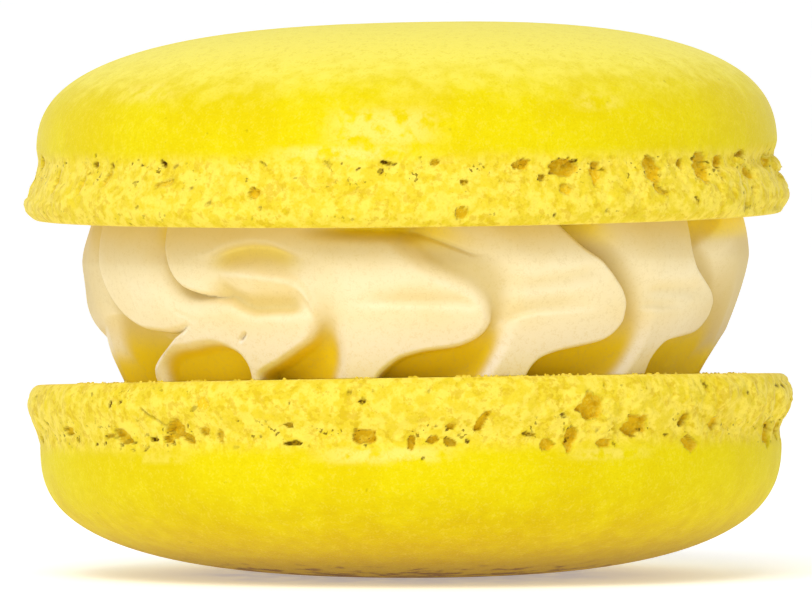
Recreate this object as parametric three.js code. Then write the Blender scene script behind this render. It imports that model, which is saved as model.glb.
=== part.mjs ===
// A filled macaron: two domed almond-meringue shells, each with a flat face and a ruffled foot, joined by a
// thick ring of star-piped buttercream. Millimetres, +Z up, origin under the middle of the macaron where it
// rests. Angles run round the Z axis in degrees from the front (-Y), positive towards the right (+X).
import * as THREE from "three";

// Shells
const FOOT_RADIUS = 22.35; // widest point, on the foot
const WAIST_RADIUS = 21.6; // where the foot meets the dome
const UPPER_HEIGHT = 11.3; // flat face to top of dome
const LOWER_HEIGHT = 11.52;
const FOOT_HEIGHT = 3.6; // flat face to waist
const LIP_HEIGHT = 1.1; // flat face to the foot's widest point
const LIP_ROUND = 0.7; // how far the foot draws in from there to the flat face
const DOME_PLAN_POWER = 2.6; // superellipse exponents: above 2, fuller than an ellipse
const DOME_RISE_POWER = 2.75;
const DOME_SKIRT = 0.09; // the dome stands this far proud of the waist

// Placing. The lower dome reaches below z = 0, and is pressed flat there.
const LOWER_FACE_Z = 11.45; // height of the lower shell's flat face, on the axis
const CREAM_THICKNESS = 9.62; // between the two flat faces, on the axis
const SEAM_GAP = 0.02; // keeps the cream and the shells separate solids
const UPPER_TILT = { front: -3.7, right: 0.62 }; // degrees that the front and right edges are raised
const LOWER_TILT = { front: 0.3, right: 0.9 };
const UPPER_LEAN = 0.7; // degrees more at the top of each dome, to the right
const LOWER_LEAN = -0.8;
const UPPER_RIGHT = -0.06; // how far each shell's middle stands to the right of the axis
const LOWER_RIGHT = 0.08;

// Rings of the shells: even rows up the foot, then rings of the dome, each at a turn of the superellipse's
// own angle in degrees, with fewer segments as the dome narrows
const FOOT_SEGMENTS = 160;
const FOOT_ROWS = 8;
const DOME_RINGS = [
  { turn: 2, segments: 160 },
  { turn: 8, segments: 112 },
  { turn: 17, segments: 88 },
  { turn: 27, segments: 76 },
  { turn: 37, segments: 64 },
  { turn: 47, segments: 56 },
  { turn: 57, segments: 48 },
  { turn: 67, segments: 36 },
  { turn: 76, segments: 24 },
  { turn: 84, segments: 12 },
];

// Foot relief
const RUFFLE_DEPTH = 0.09;
const RELIEF_START = 0.5; // height over which the relief grows from the flat face
const RELIEF_END = [0.85, 1.25]; // shares of the foot's height between which it dies out
const RUFFLES = [19, 31, 47, 74]; // waves round the foot, one frequency each
const PIT_REACH = 0.62; // a pit reaches out by this times its width or height
const DEEPEST_PIT = 1.1;
const SMALL_PITS = 46; // round the part of each foot that has no pit of its own in the lists below
const PIT_MARGIN = 76; // degrees each side of the front that the lists cover

// The larger pits near the front: degrees, height above the flat face, width, height and depth.
const UPPER_PITS = [
  { at: -70, up: 2.6, wide: 0.9, tall: 1.8, deep: 0.5 },
  { at: -24.5, up: 1.9, wide: 0.8, tall: 0.9, deep: 0.5 },
  { at: -3.5, up: 3.5, wide: 1.3, tall: 0.6, deep: 0.6 },
  { at: 8, up: 0.9, wide: 0.9, tall: 0.9, deep: 0.5 },
  { at: 17.5, up: 3.4, wide: 1.1, tall: 0.7, deep: 0.6 },
  { at: 24.5, up: 3.2, wide: 2.0, tall: 1.3, deep: 0.9 },
  { at: 30, up: 2.9, wide: 1.0, tall: 1.2, deep: 0.5 },
  { at: 40, up: 3.0, wide: 1.7, tall: 1.6, deep: 0.9 },
  { at: 52.5, up: 3.0, wide: 1.6, tall: 2.0, deep: 0.9 },
  { at: 57.5, up: 3.4, wide: 1.2, tall: 0.8, deep: 0.6 },
  { at: 69, up: 2.6, wide: 1.4, tall: 1.0, deep: 0.6 },
];
const LOWER_PITS = [
  { at: -66, up: 2.7, wide: 1.8, tall: 0.7, deep: 0.6 },
  { at: -50, up: 3.2, wide: 2.2, tall: 0.8, deep: 0.7 },
  { at: -38.5, up: 3.0, wide: 2.0, tall: 1.3, deep: 0.9 },
  { at: -19, up: 3.5, wide: 1.1, tall: 0.5, deep: 0.5 },
  { at: -6.5, up: 3.1, wide: 1.3, tall: 0.9, deep: 0.6 },
  { at: 6.5, up: 3.5, wide: 1.6, tall: 0.6, deep: 0.6 },
  { at: 11, up: 2.4, wide: 0.9, tall: 1.0, deep: 0.5 },
  { at: 25.5, up: 3.5, wide: 1.0, tall: 1.5, deep: 0.8 },
  { at: 28, up: 1.7, wide: 1.7, tall: 1.6, deep: 0.7 },
  { at: 36.5, up: 2.7, wide: 1.7, tall: 1.3, deep: 0.9 },
  { at: 47, up: 2.3, wide: 1.0, tall: 1.0, deep: 0.6 },
  { at: 49, up: 3.7, wide: 1.5, tall: 0.8, deep: 0.6 },
  { at: 71, up: 3.1, wide: 1.8, tall: 1.3, deep: 0.8 },
];

// Cream
const CREAM_RIGHT = 0.4; // how far its middle stands to the right of the axis
const CREAM_BELLY = 19.55; // radius at the widest
const CREAM_FOOT = 17; // crest radius on the lower shell
const CREAM_CROWN = 19.3; // crest radius under the upper shell
const BELLY_SHARE = 0.75; // height share of the widest point
const BELLY_POWER = 1.35; // how the side curves in below it

// The lobes that the star nozzle left, from left to right across the front. Heights are shares, from 0 on the
// lower shell to 1 under the upper shell.
// foot, nose, top: degrees of the furrow along the lobe's right-hand edge, at the bottom, where the lobe
//   sticks out farthest to the right, and under the upper shell
// rise, fall: heights between which the edge swings from foot to nose, and from nose to top
// deep: depth of that furrow in mm, at each of DEPTH_HEIGHTS
// round: how wide the edge rolls into the furrow in mm, below and above the nose
// neck: how wide the lobe stands on the lower shell in degrees, with a hollow to its left
// flank: share of the lobe's width that climbs out of the furrow on its left, halfway up and at the top
// crease: a soft fold across the lobe, with its depth in mm, its height, how far it fades below and above
//   that, and the shares of the lobe's width between which it runs
const FRONT_LOBES = [
  {
    foot: -84, nose: -66, top: -72, rise: [0.12, 0.38], fall: [0.42, 0.95], deep: [3, 1.9, 1.8, 1.9],
    round: [0.7, 0.8], neck: 7, flank: [0.12, 0.15],
    crease: { deep: 0.5, at: 0.5, below: 0.05, above: 0.12, from: 0.15, to: 0.7 },
  },
  {
    foot: -57, nose: -30.7, top: -44, rise: [0.07, 0.28], fall: [0.31, 0.7], deep: [3, 0.9, 2.1, 2.2],
    round: [0.9, 1.6], neck: 5, flank: [0.22, 0.22],
    crease: { deep: 1.6, at: 0.26, below: 0.09, above: 0.045, from: -0.1, to: 0.42 },
  },
  {
    foot: -29.7, nose: -16.6, top: -40.2, rise: [-0.02, 0.34], fall: [0.43, 0.91], deep: [3.2, 0.4, 1.2, 0.1],
    round: [1, 2.2], neck: 4.5, flank: [0.12, 0.12],
    crease: { deep: 1, at: 0.53, below: 0.07, above: 0.09, from: 0.1, to: 0.9 },
  },
  {
    foot: -6, nose: 13.5, top: -4.4, rise: [0.03, 0.29], fall: [0.49, 1], deep: [3.2, 0.9, 1.4, 2],
    round: [0.7, 1.6], neck: 7, flank: [0.3, 0.1],
    crease: { deep: 0.6, at: 0.54, below: 0.05, above: 0.09, from: 0.3, to: 0.85 },
  },
  {
    foot: 21.8, nose: 38.2, top: 25.6, rise: [0.03, 0.35], fall: [0.53, 1], deep: [3.2, 2, 2.1, 2.4],
    round: [0.7, 0.8], neck: 7.8, flank: [0.45, 0.6],
    crease: { deep: 0.7, at: 0.5, below: 0.05, above: 0.12, from: 0.15, to: 0.75 },
  },
  {
    foot: 49.7, nose: 62.3, top: 53, rise: [0.14, 0.38], fall: [0.56, 1], deep: [3.2, 2, 2, 2.4],
    round: [0.7, 0.7], neck: 8.5, flank: [0.4, 0.6],
    crease: { deep: 0.7, at: 0.47, below: 0.05, above: 0.12, from: 0.1, to: 0.65 },
  },
];
const SIDE_LOBES = 7; // round the rest, evenly spread
const DEPTH_HEIGHTS = [0.08, 0.42, 0.78, 1];
const FALL_POWER = 1.7; // the swing back to the top starts gently
const ROUND_HEIGHTS = [0.25, 0.45]; // between which "round" changes
const NECK_HEIGHTS = [0.1, 0.43]; // between which a neck widens into the body of its lobe
const HOLLOW_HEIGHTS = [0.28, 0.43]; // between which the hollow beside it closes
const NECK_FLANK = 4.5; // degrees over which a neck climbs out of the hollow
const FLANK_HEIGHTS = [0.5, 0.85]; // between which "flank" changes
const CREAM_COLUMNS = [0, 0.1, 0.2, 0.33, 0.47, 0.6, 0.73, 0.83, 0.9, 0.95, 0.985]; // across a lobe
const FLANK_COLUMNS = [0.2, 0.6]; // those that mark where its left flank starts and ends
const FLANK_REACH = [0.1, 0.88]; // shares of a lobe's width that its flank's columns stay between
const FLANK_WIDTH = 0.15; // the least share that they spread over
const CREASE_FADE = 0.1; // share of a lobe's width over which a crease fades in and out
const CREAM_ROWS = [
  0, 0.05, 0.09, 0.13, 0.17, 0.21, 0.25, 0.29, 0.34, 0.4, 0.46, 0.52, 0.59, 0.67, 0.76, 0.86, 0.93, 1,
];

const { lerp, smoothstep, clamp, degToRad } = THREE.MathUtils;

// A repeatable stream of numbers from 0 to 1.
function dice(seed) {
  let state = seed;
  return () => {
    state = (state * 1664525 + 1013904223) % 4294967296;
    return state / 4294967296;
  };
}

function polar(radius, degrees, z) {
  const a = degToRad(degrees);
  return new THREE.Vector3(radius * Math.sin(a), -radius * Math.cos(a), z);
}

// ---- Closed solids from rings ----

// Triangles between two rings of points that may differ in number, both anticlockwise seen from above.
function zip(lower, lowerCount, upper, upperCount) {
  const faces = [];
  let i = 0;
  let j = 0;
  while (i < lowerCount || j < upperCount) {
    const a = lower + (i % lowerCount);
    const b = upper + (j % upperCount);
    if (j === upperCount || (i < lowerCount && (i + 1) / lowerCount <= (j + 1) / upperCount)) {
      i += 1;
      faces.push(a, lower + (i % lowerCount), b);
    } else {
      j += 1;
      faces.push(a, upper + (j % upperCount), b);
    }
  }
  return faces;
}

// The two ends of each side of a ring of points, of which the first has the number "start".
function ringSides(start, count) {
  return Array.from({ length: count }, (_, i) => [start + i, start + ((i + 1) % count)]);
}

// The rings are stacked from the lowest up, and a fan to a middle point closes each end.
function ringSolid(rings, bottom, top) {
  const points = [bottom, ...rings.flat(), top];
  const topNumber = points.length - 1;
  const faces = ringSides(1, rings[0].length).flatMap(([a, b]) => [0, b, a]);
  let start = 1;
  for (let k = 1; k < rings.length; k++) {
    const next = start + rings[k - 1].length;
    faces.push(...zip(start, rings[k - 1].length, next, rings[k].length));
    start = next;
  }
  faces.push(...ringSides(start, rings.at(-1).length).flatMap(([a, b]) => [a, b, topNumber]));
  const geometry = new THREE.BufferGeometry().setFromPoints(points);
  geometry.setIndex(faces);
  geometry.computeVertexNormals();
  return geometry;
}

// ---- Shells, each modelled with its flat face down on z = 0 and then placed ----

// Radius of the plain foot at a height above the flat face.
function footRadius(height) {
  if (height < LIP_HEIGHT) {
    const x = 1 - height / LIP_HEIGHT;
    return FOOT_RADIUS - LIP_ROUND * (1 - Math.sqrt(1 - x * x));
  }
  const x = (height - LIP_HEIGHT) / (FOOT_HEIGHT - LIP_HEIGHT);
  return lerp(WAIST_RADIUS, FOOT_RADIUS, 0.5 + 0.5 * Math.cos(Math.PI * x));
}

// The listed pits, and smaller ones scattered round the rest of the foot, thickest near the waist.
function footPits(listed, seed) {
  const roll = dice(seed);
  const pits = [...listed];
  for (let i = 0; i < SMALL_PITS; i++) {
    const wide = lerp(0.6, 1.9, roll() ** 2);
    pits.push({
      at: lerp(PIT_MARGIN, 360 - PIT_MARGIN, (i + roll()) / SMALL_PITS),
      up: FOOT_HEIGHT * lerp(0.25, 1, 1 - roll() ** 2),
      wide,
      tall: wide * lerp(0.5, 1.1, roll()),
      deep: lerp(0.3, 0.5, roll()) * wide,
    });
  }
  return pits;
}

// How far the surface stands out of the plain foot: broken waves round it, less the pits.
function footRelief(degrees, height, pits, seed) {
  const fade = smoothstep(height, 0, RELIEF_START) * (1 - smoothstep(height / FOOT_HEIGHT, ...RELIEF_END));
  const waves = RUFFLES.reduce((sum, count, k) => {
    const phase = degToRad(degrees * count) + seed * (k + 1) + Math.sin(height * (1.1 + 0.4 * k));
    return sum + Math.sin(phase) / Math.sqrt(k + 1);
  }, 0);
  const hollow = pits.reduce((sum, pit) => {
    const turn = ((degrees - pit.at + 540) % 360) - 180;
    const across = (degToRad(turn) * FOOT_RADIUS) / (PIT_REACH * pit.wide);
    const up = (height - pit.up) / (PIT_REACH * pit.tall);
    return sum + pit.deep * Math.max(0, 1 - across * across - up * up);
  }, 0);
  return fade * RUFFLE_DEPTH * waves - Math.min(hollow, DEEPEST_PIT);
}

function shellGeometry({ shellHeight, lean, pits, seed }) {
  const rings = [];
  const rise = Math.tan(degToRad(lean)) / (shellHeight - FOOT_HEIGHT);
  const ringAt = (radius, height, segments) =>
    Array.from({ length: segments }, (_, i) => {
      const degrees = (360 * i) / segments;
      const point = polar(radius + footRelief(degrees, height, pits, seed), degrees, height);
      point.z += rise * point.x * Math.max(0, height - FOOT_HEIGHT);
      return point;
    });
  for (let row = 0; row <= FOOT_ROWS; row++) {
    const height = (FOOT_HEIGHT * row) / FOOT_ROWS;
    rings.push(ringAt(footRadius(height), height, FOOT_SEGMENTS));
  }
  for (const { turn, segments } of DOME_RINGS) {
    const angle = degToRad(turn);
    const radius = (WAIST_RADIUS + DOME_SKIRT) * Math.cos(angle) ** (2 / DOME_PLAN_POWER);
    const height = FOOT_HEIGHT + (shellHeight - FOOT_HEIGHT) * Math.sin(angle) ** (2 / DOME_RISE_POWER);
    rings.push(ringAt(radius, height, segments));
  }
  return ringSolid(rings, new THREE.Vector3(0, 0, 0), new THREE.Vector3(0, 0, shellHeight));
}

function tiltOf({ front, right }) {
  return new THREE.Euler(degToRad(-front), degToRad(-right), 0);
}

// Height of a tilted flat face over a point of the plan, for a face whose middle is at z on the axis.
function faceHeight(tilt, z, x, y) {
  const normal = new THREE.Vector3(0, 0, 1).applyEuler(tiltOf(tilt));
  return z - (normal.x * x + normal.y * y) / normal.z;
}

function upperShell(material) {
  const pits = footPits(UPPER_PITS, 11);
  const geometry = shellGeometry({ shellHeight: UPPER_HEIGHT, lean: UPPER_LEAN, pits, seed: 1 });
  const mesh = new THREE.Mesh(geometry, material);
  mesh.name = "shell_upper";
  mesh.rotation.copy(tiltOf(UPPER_TILT));
  mesh.position.set(UPPER_RIGHT, 0, LOWER_FACE_Z + CREAM_THICKNESS);
  return mesh;
}

// The lower shell is the same kind of shell turned over from side to side, so its pits change sides.
function lowerShell(material) {
  const pits = footPits(LOWER_PITS, 23).map((pit) => ({ ...pit, at: -pit.at }));
  const geometry = shellGeometry({ shellHeight: LOWER_HEIGHT, lean: LOWER_LEAN, pits, seed: 2 });
  geometry.rotateY(Math.PI);
  geometry.applyMatrix4(new THREE.Matrix4().makeRotationFromEuler(tiltOf(LOWER_TILT)));
  geometry.translate(LOWER_RIGHT, 0, LOWER_FACE_Z);
  const position = geometry.getAttribute("position");
  for (let i = 0; i < position.count; i++) position.setZ(i, Math.max(0, position.getZ(i)));
  const mesh = new THREE.Mesh(geometry, material);
  mesh.name = "shell_lower";
  return mesh;
}

// ---- Cream ----

function crestRadius(share) {
  const below = Math.max(0, 1 - share / BELLY_SHARE);
  const above = Math.max(0, (share - BELLY_SHARE) / (1 - BELLY_SHARE));
  const drawnIn = (CREAM_BELLY - CREAM_FOOT) * below ** BELLY_POWER + (CREAM_BELLY - CREAM_CROWN) * above ** 2;
  return CREAM_BELLY - drawnIn;
}

// The lobes in order round the macaron: the front ones as listed, the rest evenly spread with a little play.
function creamLobes() {
  const roll = dice(5);
  const lobes = [...FRONT_LOBES];
  const from = lobes.at(-1).foot;
  const to = lobes[0].foot + 360;
  for (let i = 1; i <= SIDE_LOBES; i++) {
    const foot = lerp(from, to, (i + 0.2 * (roll() - 0.5)) / (SIDE_LOBES + 1));
    const start = lerp(0.03, 0.12, roll());
    lobes.push({
      foot,
      nose: foot + lerp(14, 21, roll()),
      top: foot + lerp(2, 7, roll()),
      rise: [start, start + 0.28],
      fall: [lerp(0.45, 0.55, roll()), 1],
      deep: [3.2, lerp(1, 2, roll()), lerp(1.5, 2.1, roll()), 2.2],
      round: [0.7, lerp(0.8, 1.5, roll())],
      neck: lerp(6, 9, roll()),
      flank: [lerp(0.3, 0.5, roll()), lerp(0.3, 0.6, roll())],
      crease: { deep: 0.7, at: lerp(0.46, 0.54, roll()), below: 0.05, above: 0.12, from: 0.15, to: 0.7 },
    });
  }
  return lobes;
}

// The furrow along a lobe's right-hand edge, at a height share.
function edgeAt({ foot, nose, top, rise, fall, deep }, share) {
  const back = clamp((share - fall[0]) / (fall[1] - fall[0]), 0, 1) ** FALL_POWER;
  const degrees = lerp(foot, nose, smoothstep(share, ...rise)) + (top - nose) * back;
  const [low, middle, high, end] = DEPTH_HEIGHTS;
  const lower = lerp(deep[0], deep[1], smoothstep(share, low, middle));
  const upper = lerp(deep[2], deep[3], smoothstep(share, high, end));
  return { degrees, deep: lerp(lower, upper, smoothstep(share, middle, high)) };
}

// The left flank of a lobe: how much of a neck it is from 0 to 1, and between which shares of the lobe's
// width it climbs to the crest. To the left of it lies the hollow.
function flankOf(lobe, share, left, span) {
  const low = 1 - smoothstep(share, ...NECK_HEIGHTS);
  const open = 1 - smoothstep(share, ...HOLLOW_HEIGHTS);
  const start = open * Math.max(0, (lobe.foot - lobe.neck - NECK_FLANK / 2 - left.degrees) / span);
  const body = lerp(...lobe.flank, smoothstep(share, ...FLANK_HEIGHTS));
  return { low, start, end: start + lerp(body, NECK_FLANK / span, low) };
}

// Share of the lobe's width at which a column lies, so that the flank always has its columns.
function acrossAt(column, flank) {
  const [from, to] = FLANK_COLUMNS;
  const start = Math.max(flank.start, FLANK_REACH[0]);
  const end = clamp(flank.end, start + FLANK_WIDTH, FLANK_REACH[1]);
  if (column < from) return start * (column / from);
  if (column < to) return lerp(start, end, (column - from) / (to - from));
  return lerp(end, 1, (column - to) / (1 - to));
}

// How far the surface lies below the crest: "across" runs from 0 at the furrow on a lobe's left to 1 at its
// right-hand edge, and "share" from 0 on the lower shell to 1 under the upper shell.
function creamDepth({ lobe, across, share, left, right, flank }) {
  const span = right.degrees - left.degrees;
  const step = 0.01;
  const lean = (edgeAt(lobe, share + step).degrees - edgeAt(lobe, share - step).degrees) / (2 * step);
  const slope = (degToRad(lean) * CREAM_BELLY) / CREAM_THICKNESS;
  const fromEdge = (degToRad((1 - across) * span) * CREAM_BELLY) / Math.hypot(1, slope);
  const round = lerp(...lobe.round, smoothstep(share, ...ROUND_HEIGHTS));
  const roll = clamp(1 - fromEdge / round, 0, 1);
  const edgeDepth = right.deep * (1 - Math.sqrt(1 - roll * roll));

  const climb = clamp((across - flank.start) / (flank.end - flank.start), 0, 1);
  const flankDepth = left.deep * lerp((1 - climb) ** 2, 1 - smoothstep(climb, 0, 1), flank.low);

  const { deep, at, below, above, from, to } = lobe.crease;
  const fadeIn = smoothstep(across, from - CREASE_FADE, from + CREASE_FADE);
  const fadeOut = 1 - smoothstep(across, to - 2 * CREASE_FADE, to + CREASE_FADE);
  const offset = (share - at) / (share < at ? below : above);
  return Math.max(flankDepth, edgeDepth) + deep * fadeIn * fadeOut * Math.exp(-offset * offset);
}

function creamPoint(previous, lobe, turn, column, share) {
  const left = edgeAt(previous, share);
  const right = edgeAt(lobe, share);
  left.degrees += turn;
  const flank = flankOf(lobe, share, left, right.degrees - left.degrees);
  const across = acrossAt(column, flank);
  const radius = crestRadius(share) - creamDepth({ lobe, across, share, left, right, flank });
  const point = polar(radius, lerp(left.degrees, right.degrees, across), 0);
  point.x += CREAM_RIGHT;
  return betweenShells(point, share);
}

// Puts a point at a height share of the gap between the shells.
function betweenShells(point, share) {
  const low = faceHeight(LOWER_TILT, LOWER_FACE_Z + SEAM_GAP, point.x, point.y);
  const high = faceHeight(UPPER_TILT, LOWER_FACE_Z + CREAM_THICKNESS - SEAM_GAP, point.x, point.y);
  return point.setZ(lerp(low, high, share));
}

function cream(material) {
  const lobes = creamLobes();
  const rings = CREAM_ROWS.map((share) =>
    lobes.flatMap((lobe, i) => {
      const turn = i === 0 ? -360 : 0;
      return CREAM_COLUMNS.map((column) => creamPoint(lobes.at(i - 1), lobe, turn, column, share));
    }),
  );
  const [bottom, top] = [0, 1].map((share) => betweenShells(new THREE.Vector3(CREAM_RIGHT, 0, 0), share));
  const mesh = new THREE.Mesh(ringSolid(rings, bottom, top), material);
  mesh.name = "cream";
  return mesh;
}

// ---- The macaron ----

const shellMaterial = new THREE.MeshStandardMaterial({ color: 0xf7e11c, roughness: 0.55, metalness: 0 });
const creamMaterial = new THREE.MeshStandardMaterial({ color: 0xf6e3b0, roughness: 0.5, metalness: 0 });

const macaron = new THREE.Group();
macaron.add(lowerShell(shellMaterial), cream(creamMaterial), upperShell(shellMaterial));

// The origin goes under the middle of the whole macaron.
const bounds = new THREE.Box3().setFromObject(macaron, true);
const centre = bounds.getCenter(new THREE.Vector3());
macaron.position.set(-centre.x, -centre.y, -bounds.min.z);

export default macaron;
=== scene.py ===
# %% [markdown]
# # A filled macaron
# This lesson dresses a small CAD model: two domed almond-meringue shells with a thick ring of star-piped
# buttercream between them. The CAD solids have the right sizes and the right main shapes, but they are
# faceted and plain. Here each solid is replaced by a finer mesh of the same form, with a finish of its own.

# %% Load the frame
import math

import bpy
import numpy as np
from mathutils import Matrix, Vector, noise


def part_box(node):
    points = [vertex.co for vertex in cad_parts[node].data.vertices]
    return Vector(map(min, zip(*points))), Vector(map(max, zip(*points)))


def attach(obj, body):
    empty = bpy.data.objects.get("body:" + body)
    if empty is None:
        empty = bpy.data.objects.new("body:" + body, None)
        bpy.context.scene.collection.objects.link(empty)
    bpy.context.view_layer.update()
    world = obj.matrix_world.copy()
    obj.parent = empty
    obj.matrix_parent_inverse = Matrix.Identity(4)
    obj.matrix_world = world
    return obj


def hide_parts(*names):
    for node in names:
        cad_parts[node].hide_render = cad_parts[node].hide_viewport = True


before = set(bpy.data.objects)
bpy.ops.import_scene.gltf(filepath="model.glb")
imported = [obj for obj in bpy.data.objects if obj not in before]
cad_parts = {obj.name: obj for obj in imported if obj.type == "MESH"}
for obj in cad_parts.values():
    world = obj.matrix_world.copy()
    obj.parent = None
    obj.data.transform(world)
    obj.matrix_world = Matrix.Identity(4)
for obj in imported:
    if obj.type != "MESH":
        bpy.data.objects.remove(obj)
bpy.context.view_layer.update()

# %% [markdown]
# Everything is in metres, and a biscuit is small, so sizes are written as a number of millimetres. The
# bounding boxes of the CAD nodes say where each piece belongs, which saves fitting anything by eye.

MM = 0.001
for name in ("shell_lower", "cream", "shell_upper"):
    low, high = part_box(name)
    sizes = ", ".join(f"{(b - a) / MM:.1f}" for a, b in zip(low, high))
    print(f"{name}: {sizes} mm, from z = {low.z / MM:.1f} mm")

# %% [markdown]
# ## Node helpers
# Both Geometry Nodes and shaders are trees of nodes joined by links. One function makes a node, sets its
# values and links its inputs. A small class wraps the numbers that come out of nodes, so that a formula can
# be written as a formula: each sum or product in it adds one math node.

# %% A function that adds one node, and numbers that come out of nodes
def add(tree, kind, inputs=None, **settings):
    """Adds a node; an input may be given a plain value, a Number or the socket of another node."""
    made = tree.nodes.new(kind)
    for key, value in settings.items():
        setattr(made, key, value)
    for key, value in (inputs or {}).items():
        if isinstance(value, Number):
            value = value.socket
        if isinstance(value, bpy.types.NodeSocket):
            tree.links.new(value, made.inputs[key])
        else:
            made.inputs[key].default_value = value
    return made


def maths(operation, *values, clamp=False):
    """One math node; at least one of its values is a Number, and so is what it gives."""
    tree = next(value.tree for value in values if isinstance(value, Number))
    inputs = dict(enumerate(values))
    return Number(add(tree, "ShaderNodeMath", inputs, operation=operation, use_clamp=clamp).outputs[0])


class Number:
    """A number that comes out of a node."""

    def __init__(self, socket):
        self.socket = socket
        self.tree = socket.id_data

    def __add__(self, other):
        return maths("ADD", self, other)

    def __sub__(self, other):
        return maths("SUBTRACT", self, other)

    def __rsub__(self, other):
        return maths("SUBTRACT", other, self)

    def __mul__(self, other):
        return maths("MULTIPLY", self, other)

    def __rtruediv__(self, other):
        return maths("DIVIDE", other, self)

    def __pow__(self, other):
        return maths("POWER", self, other)


# %% Functions that start and end a node tree
def new_tree(name, kind, inputs, outputs):
    """A tree with named sockets, listed by their kind; gives it with what comes in through them."""
    tree = bpy.data.node_groups.new(name, kind)
    for in_out, listed in (("INPUT", inputs), ("OUTPUT", outputs)):
        for socket_kind, names in listed.items():
            for socket in names:
                tree.interface.new_socket(socket, in_out=in_out, socket_type="NodeSocket" + socket_kind)
    given = add(tree, "NodeGroupInput").outputs
    numbers = {socket.name: Number(socket) for socket in given if socket.type in ("VALUE", "INT")}
    return tree, {**dict(given.items()), **numbers}


def end_geometry(tree, geometry, material):
    """Ends a Geometry Nodes tree: real faces in one material."""
    real = add(tree, "GeometryNodeRealizeInstances", {0: geometry})
    coated = add(tree, "GeometryNodeSetMaterial", {"Geometry": real.outputs[0], "Material": material})
    add(tree, "NodeGroupOutput", {0: coated.outputs[0]})


# %% [markdown]
# ## The shape of a shell
# A macaron shell is turned, like a lathe piece: a flat face, a small rounded lip, a foot that draws in to a
# waist, and a broad dome. A Spin or a Screw modifier could turn a drawn outline. Here Geometry Nodes bend a
# flat grid into that shape instead, because then each size is a named input and the rows can be placed
# closely where the foot will be carved. Across the grid runs the angle, and up the grid runs the outline.

# %% The outline of a shell in Geometry Nodes
SHELL_INPUTS = ["Foot Radius", "Waist Radius", "Height", "Foot Height", "Lip Height", "Lip Round",
                "Plan Power", "Rise Power", "Front Closeness"]
SEGMENTS = 1000
ROWS = {"face": 4, "lip": 9, "foot": 34, "dome": 50}
DOME_EASE = 2.0  # rows of the dome are closest at the waist
SEWING = 0.001 * MM  # points nearer than this are one


def shell_tree():
    tree, given = new_tree("Turned shell", "GeometryNodeTree",
                           {"Float": SHELL_INPUTS, "Material": ["Material"]}, {"Geometry": ["Shell"]})
    foot_radius, waist_radius, lip_round = given["Foot Radius"], given["Waist Radius"], given["Lip Round"]
    foot_height, lip_height = given["Foot Height"], given["Lip Height"]
    rows = sum(ROWS.values())
    grid = add(tree, "GeometryNodeMeshGrid",
               {"Size X": 1.0, "Size Y": 1.0, "Vertices X": SEGMENTS + 1, "Vertices Y": rows + 1})
    position = add(tree, "GeometryNodeInputPosition").outputs[0]
    place = add(tree, "ShaderNodeSeparateXYZ", {0: position}).outputs
    even = Number(place["X"]) * (2 * math.pi)
    turn = even - given["Front Closeness"] * maths("SINE", even)
    row = (Number(place["Y"]) + 0.5) * rows

    # How far along each stretch of the outline a row is, from 0 to 1.
    along = {}
    start = 0
    for stretch, count in ROWS.items():
        along[stretch] = maths("DIVIDE", row - start, count, clamp=True)
        start += count
    lip = along["lip"] * (math.pi / 2)
    dome = along["dome"] ** DOME_EASE * (math.pi / 2)
    dome_cosine = maths("COSINE", dome, clamp=True) ** (2.0 / given["Plan Power"])
    dome_sine = maths("SINE", dome, clamp=True) ** (2.0 / given["Rise Power"])

    face = (foot_radius - lip_round) * along["face"]
    rolled = lip_round * maths("SINE", lip)
    drawn_in = (foot_radius - waist_radius) * (0.5 - maths("COSINE", along["foot"] * math.pi) * 0.5)
    radius = face + rolled - drawn_in - waist_radius * (1.0 - dome_cosine)
    lip_rise = lip_height * (1.0 - maths("COSINE", lip))
    foot_rise = (foot_height - lip_height) * along["foot"]
    height = lip_rise + foot_rise + (given["Height"] - foot_height) * dome_sine

    bent = add(tree, "ShaderNodeCombineXYZ", {
        "X": radius * maths("SINE", turn), "Y": radius * (maths("COSINE", turn) * -1.0), "Z": height})
    shaped = add(tree, "GeometryNodeSetPosition",
                 {"Geometry": grid.outputs["Mesh"], "Position": bent.outputs[0]})
    sewn = add(tree, "GeometryNodeMergeByDistance", {"Geometry": shaped.outputs[0], "Distance": SEWING})
    smoothed = add(tree, "GeometryNodeSetShadeSmooth", {"Geometry": sewn.outputs[0]})
    end_geometry(tree, smoothed.outputs[0], given["Material"])
    return tree


turned_shell = shell_tree()
print("shell grid:", SEGMENTS, "x", sum(ROWS.values()))

# %% [markdown]
# A modifier's inputs are set by the identifiers of the tree's sockets. The evaluated result is copied to a
# plain mesh, and the modifier goes away, so that nothing later depends on it.

# %% Run a tree and keep its result as a plain mesh
def linked(name, data):
    """A new object in the scene."""
    made = bpy.data.objects.new(name, data)
    bpy.context.scene.collection.objects.link(made)
    return made


def grown(tree, values, name):
    """Runs a Geometry Nodes tree and gives the object with its result as a plain mesh."""
    made = linked(name, bpy.data.meshes.new(name))
    modifier = made.modifiers.new(tree.name, "NODES")
    modifier.node_group = tree
    for item in tree.interface.items_tree:
        if item.in_out == "INPUT" and item.name in values:
            modifier[item.identifier] = values[item.name]
    made.update_tag()
    bpy.context.view_layer.update()
    result = made.evaluated_get(bpy.context.evaluated_depsgraph_get())
    mesh = bpy.data.meshes.new_from_object(result)
    made.modifiers.clear()
    made.data = mesh
    mesh.name = name
    return made


# %% [markdown]
# ## Materials
# Colours are given as they look on a screen and turned into the linear values that Blender works with.

# %% Screen colours to linear colours
def screen(red, green, blue):
    def linear(value):
        value /= 255
        return value / 12.92 if value <= 0.04045 else ((value + 0.055) / 1.055) ** 2.4

    return (linear(red), linear(green), linear(blue), 1.0)


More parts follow.
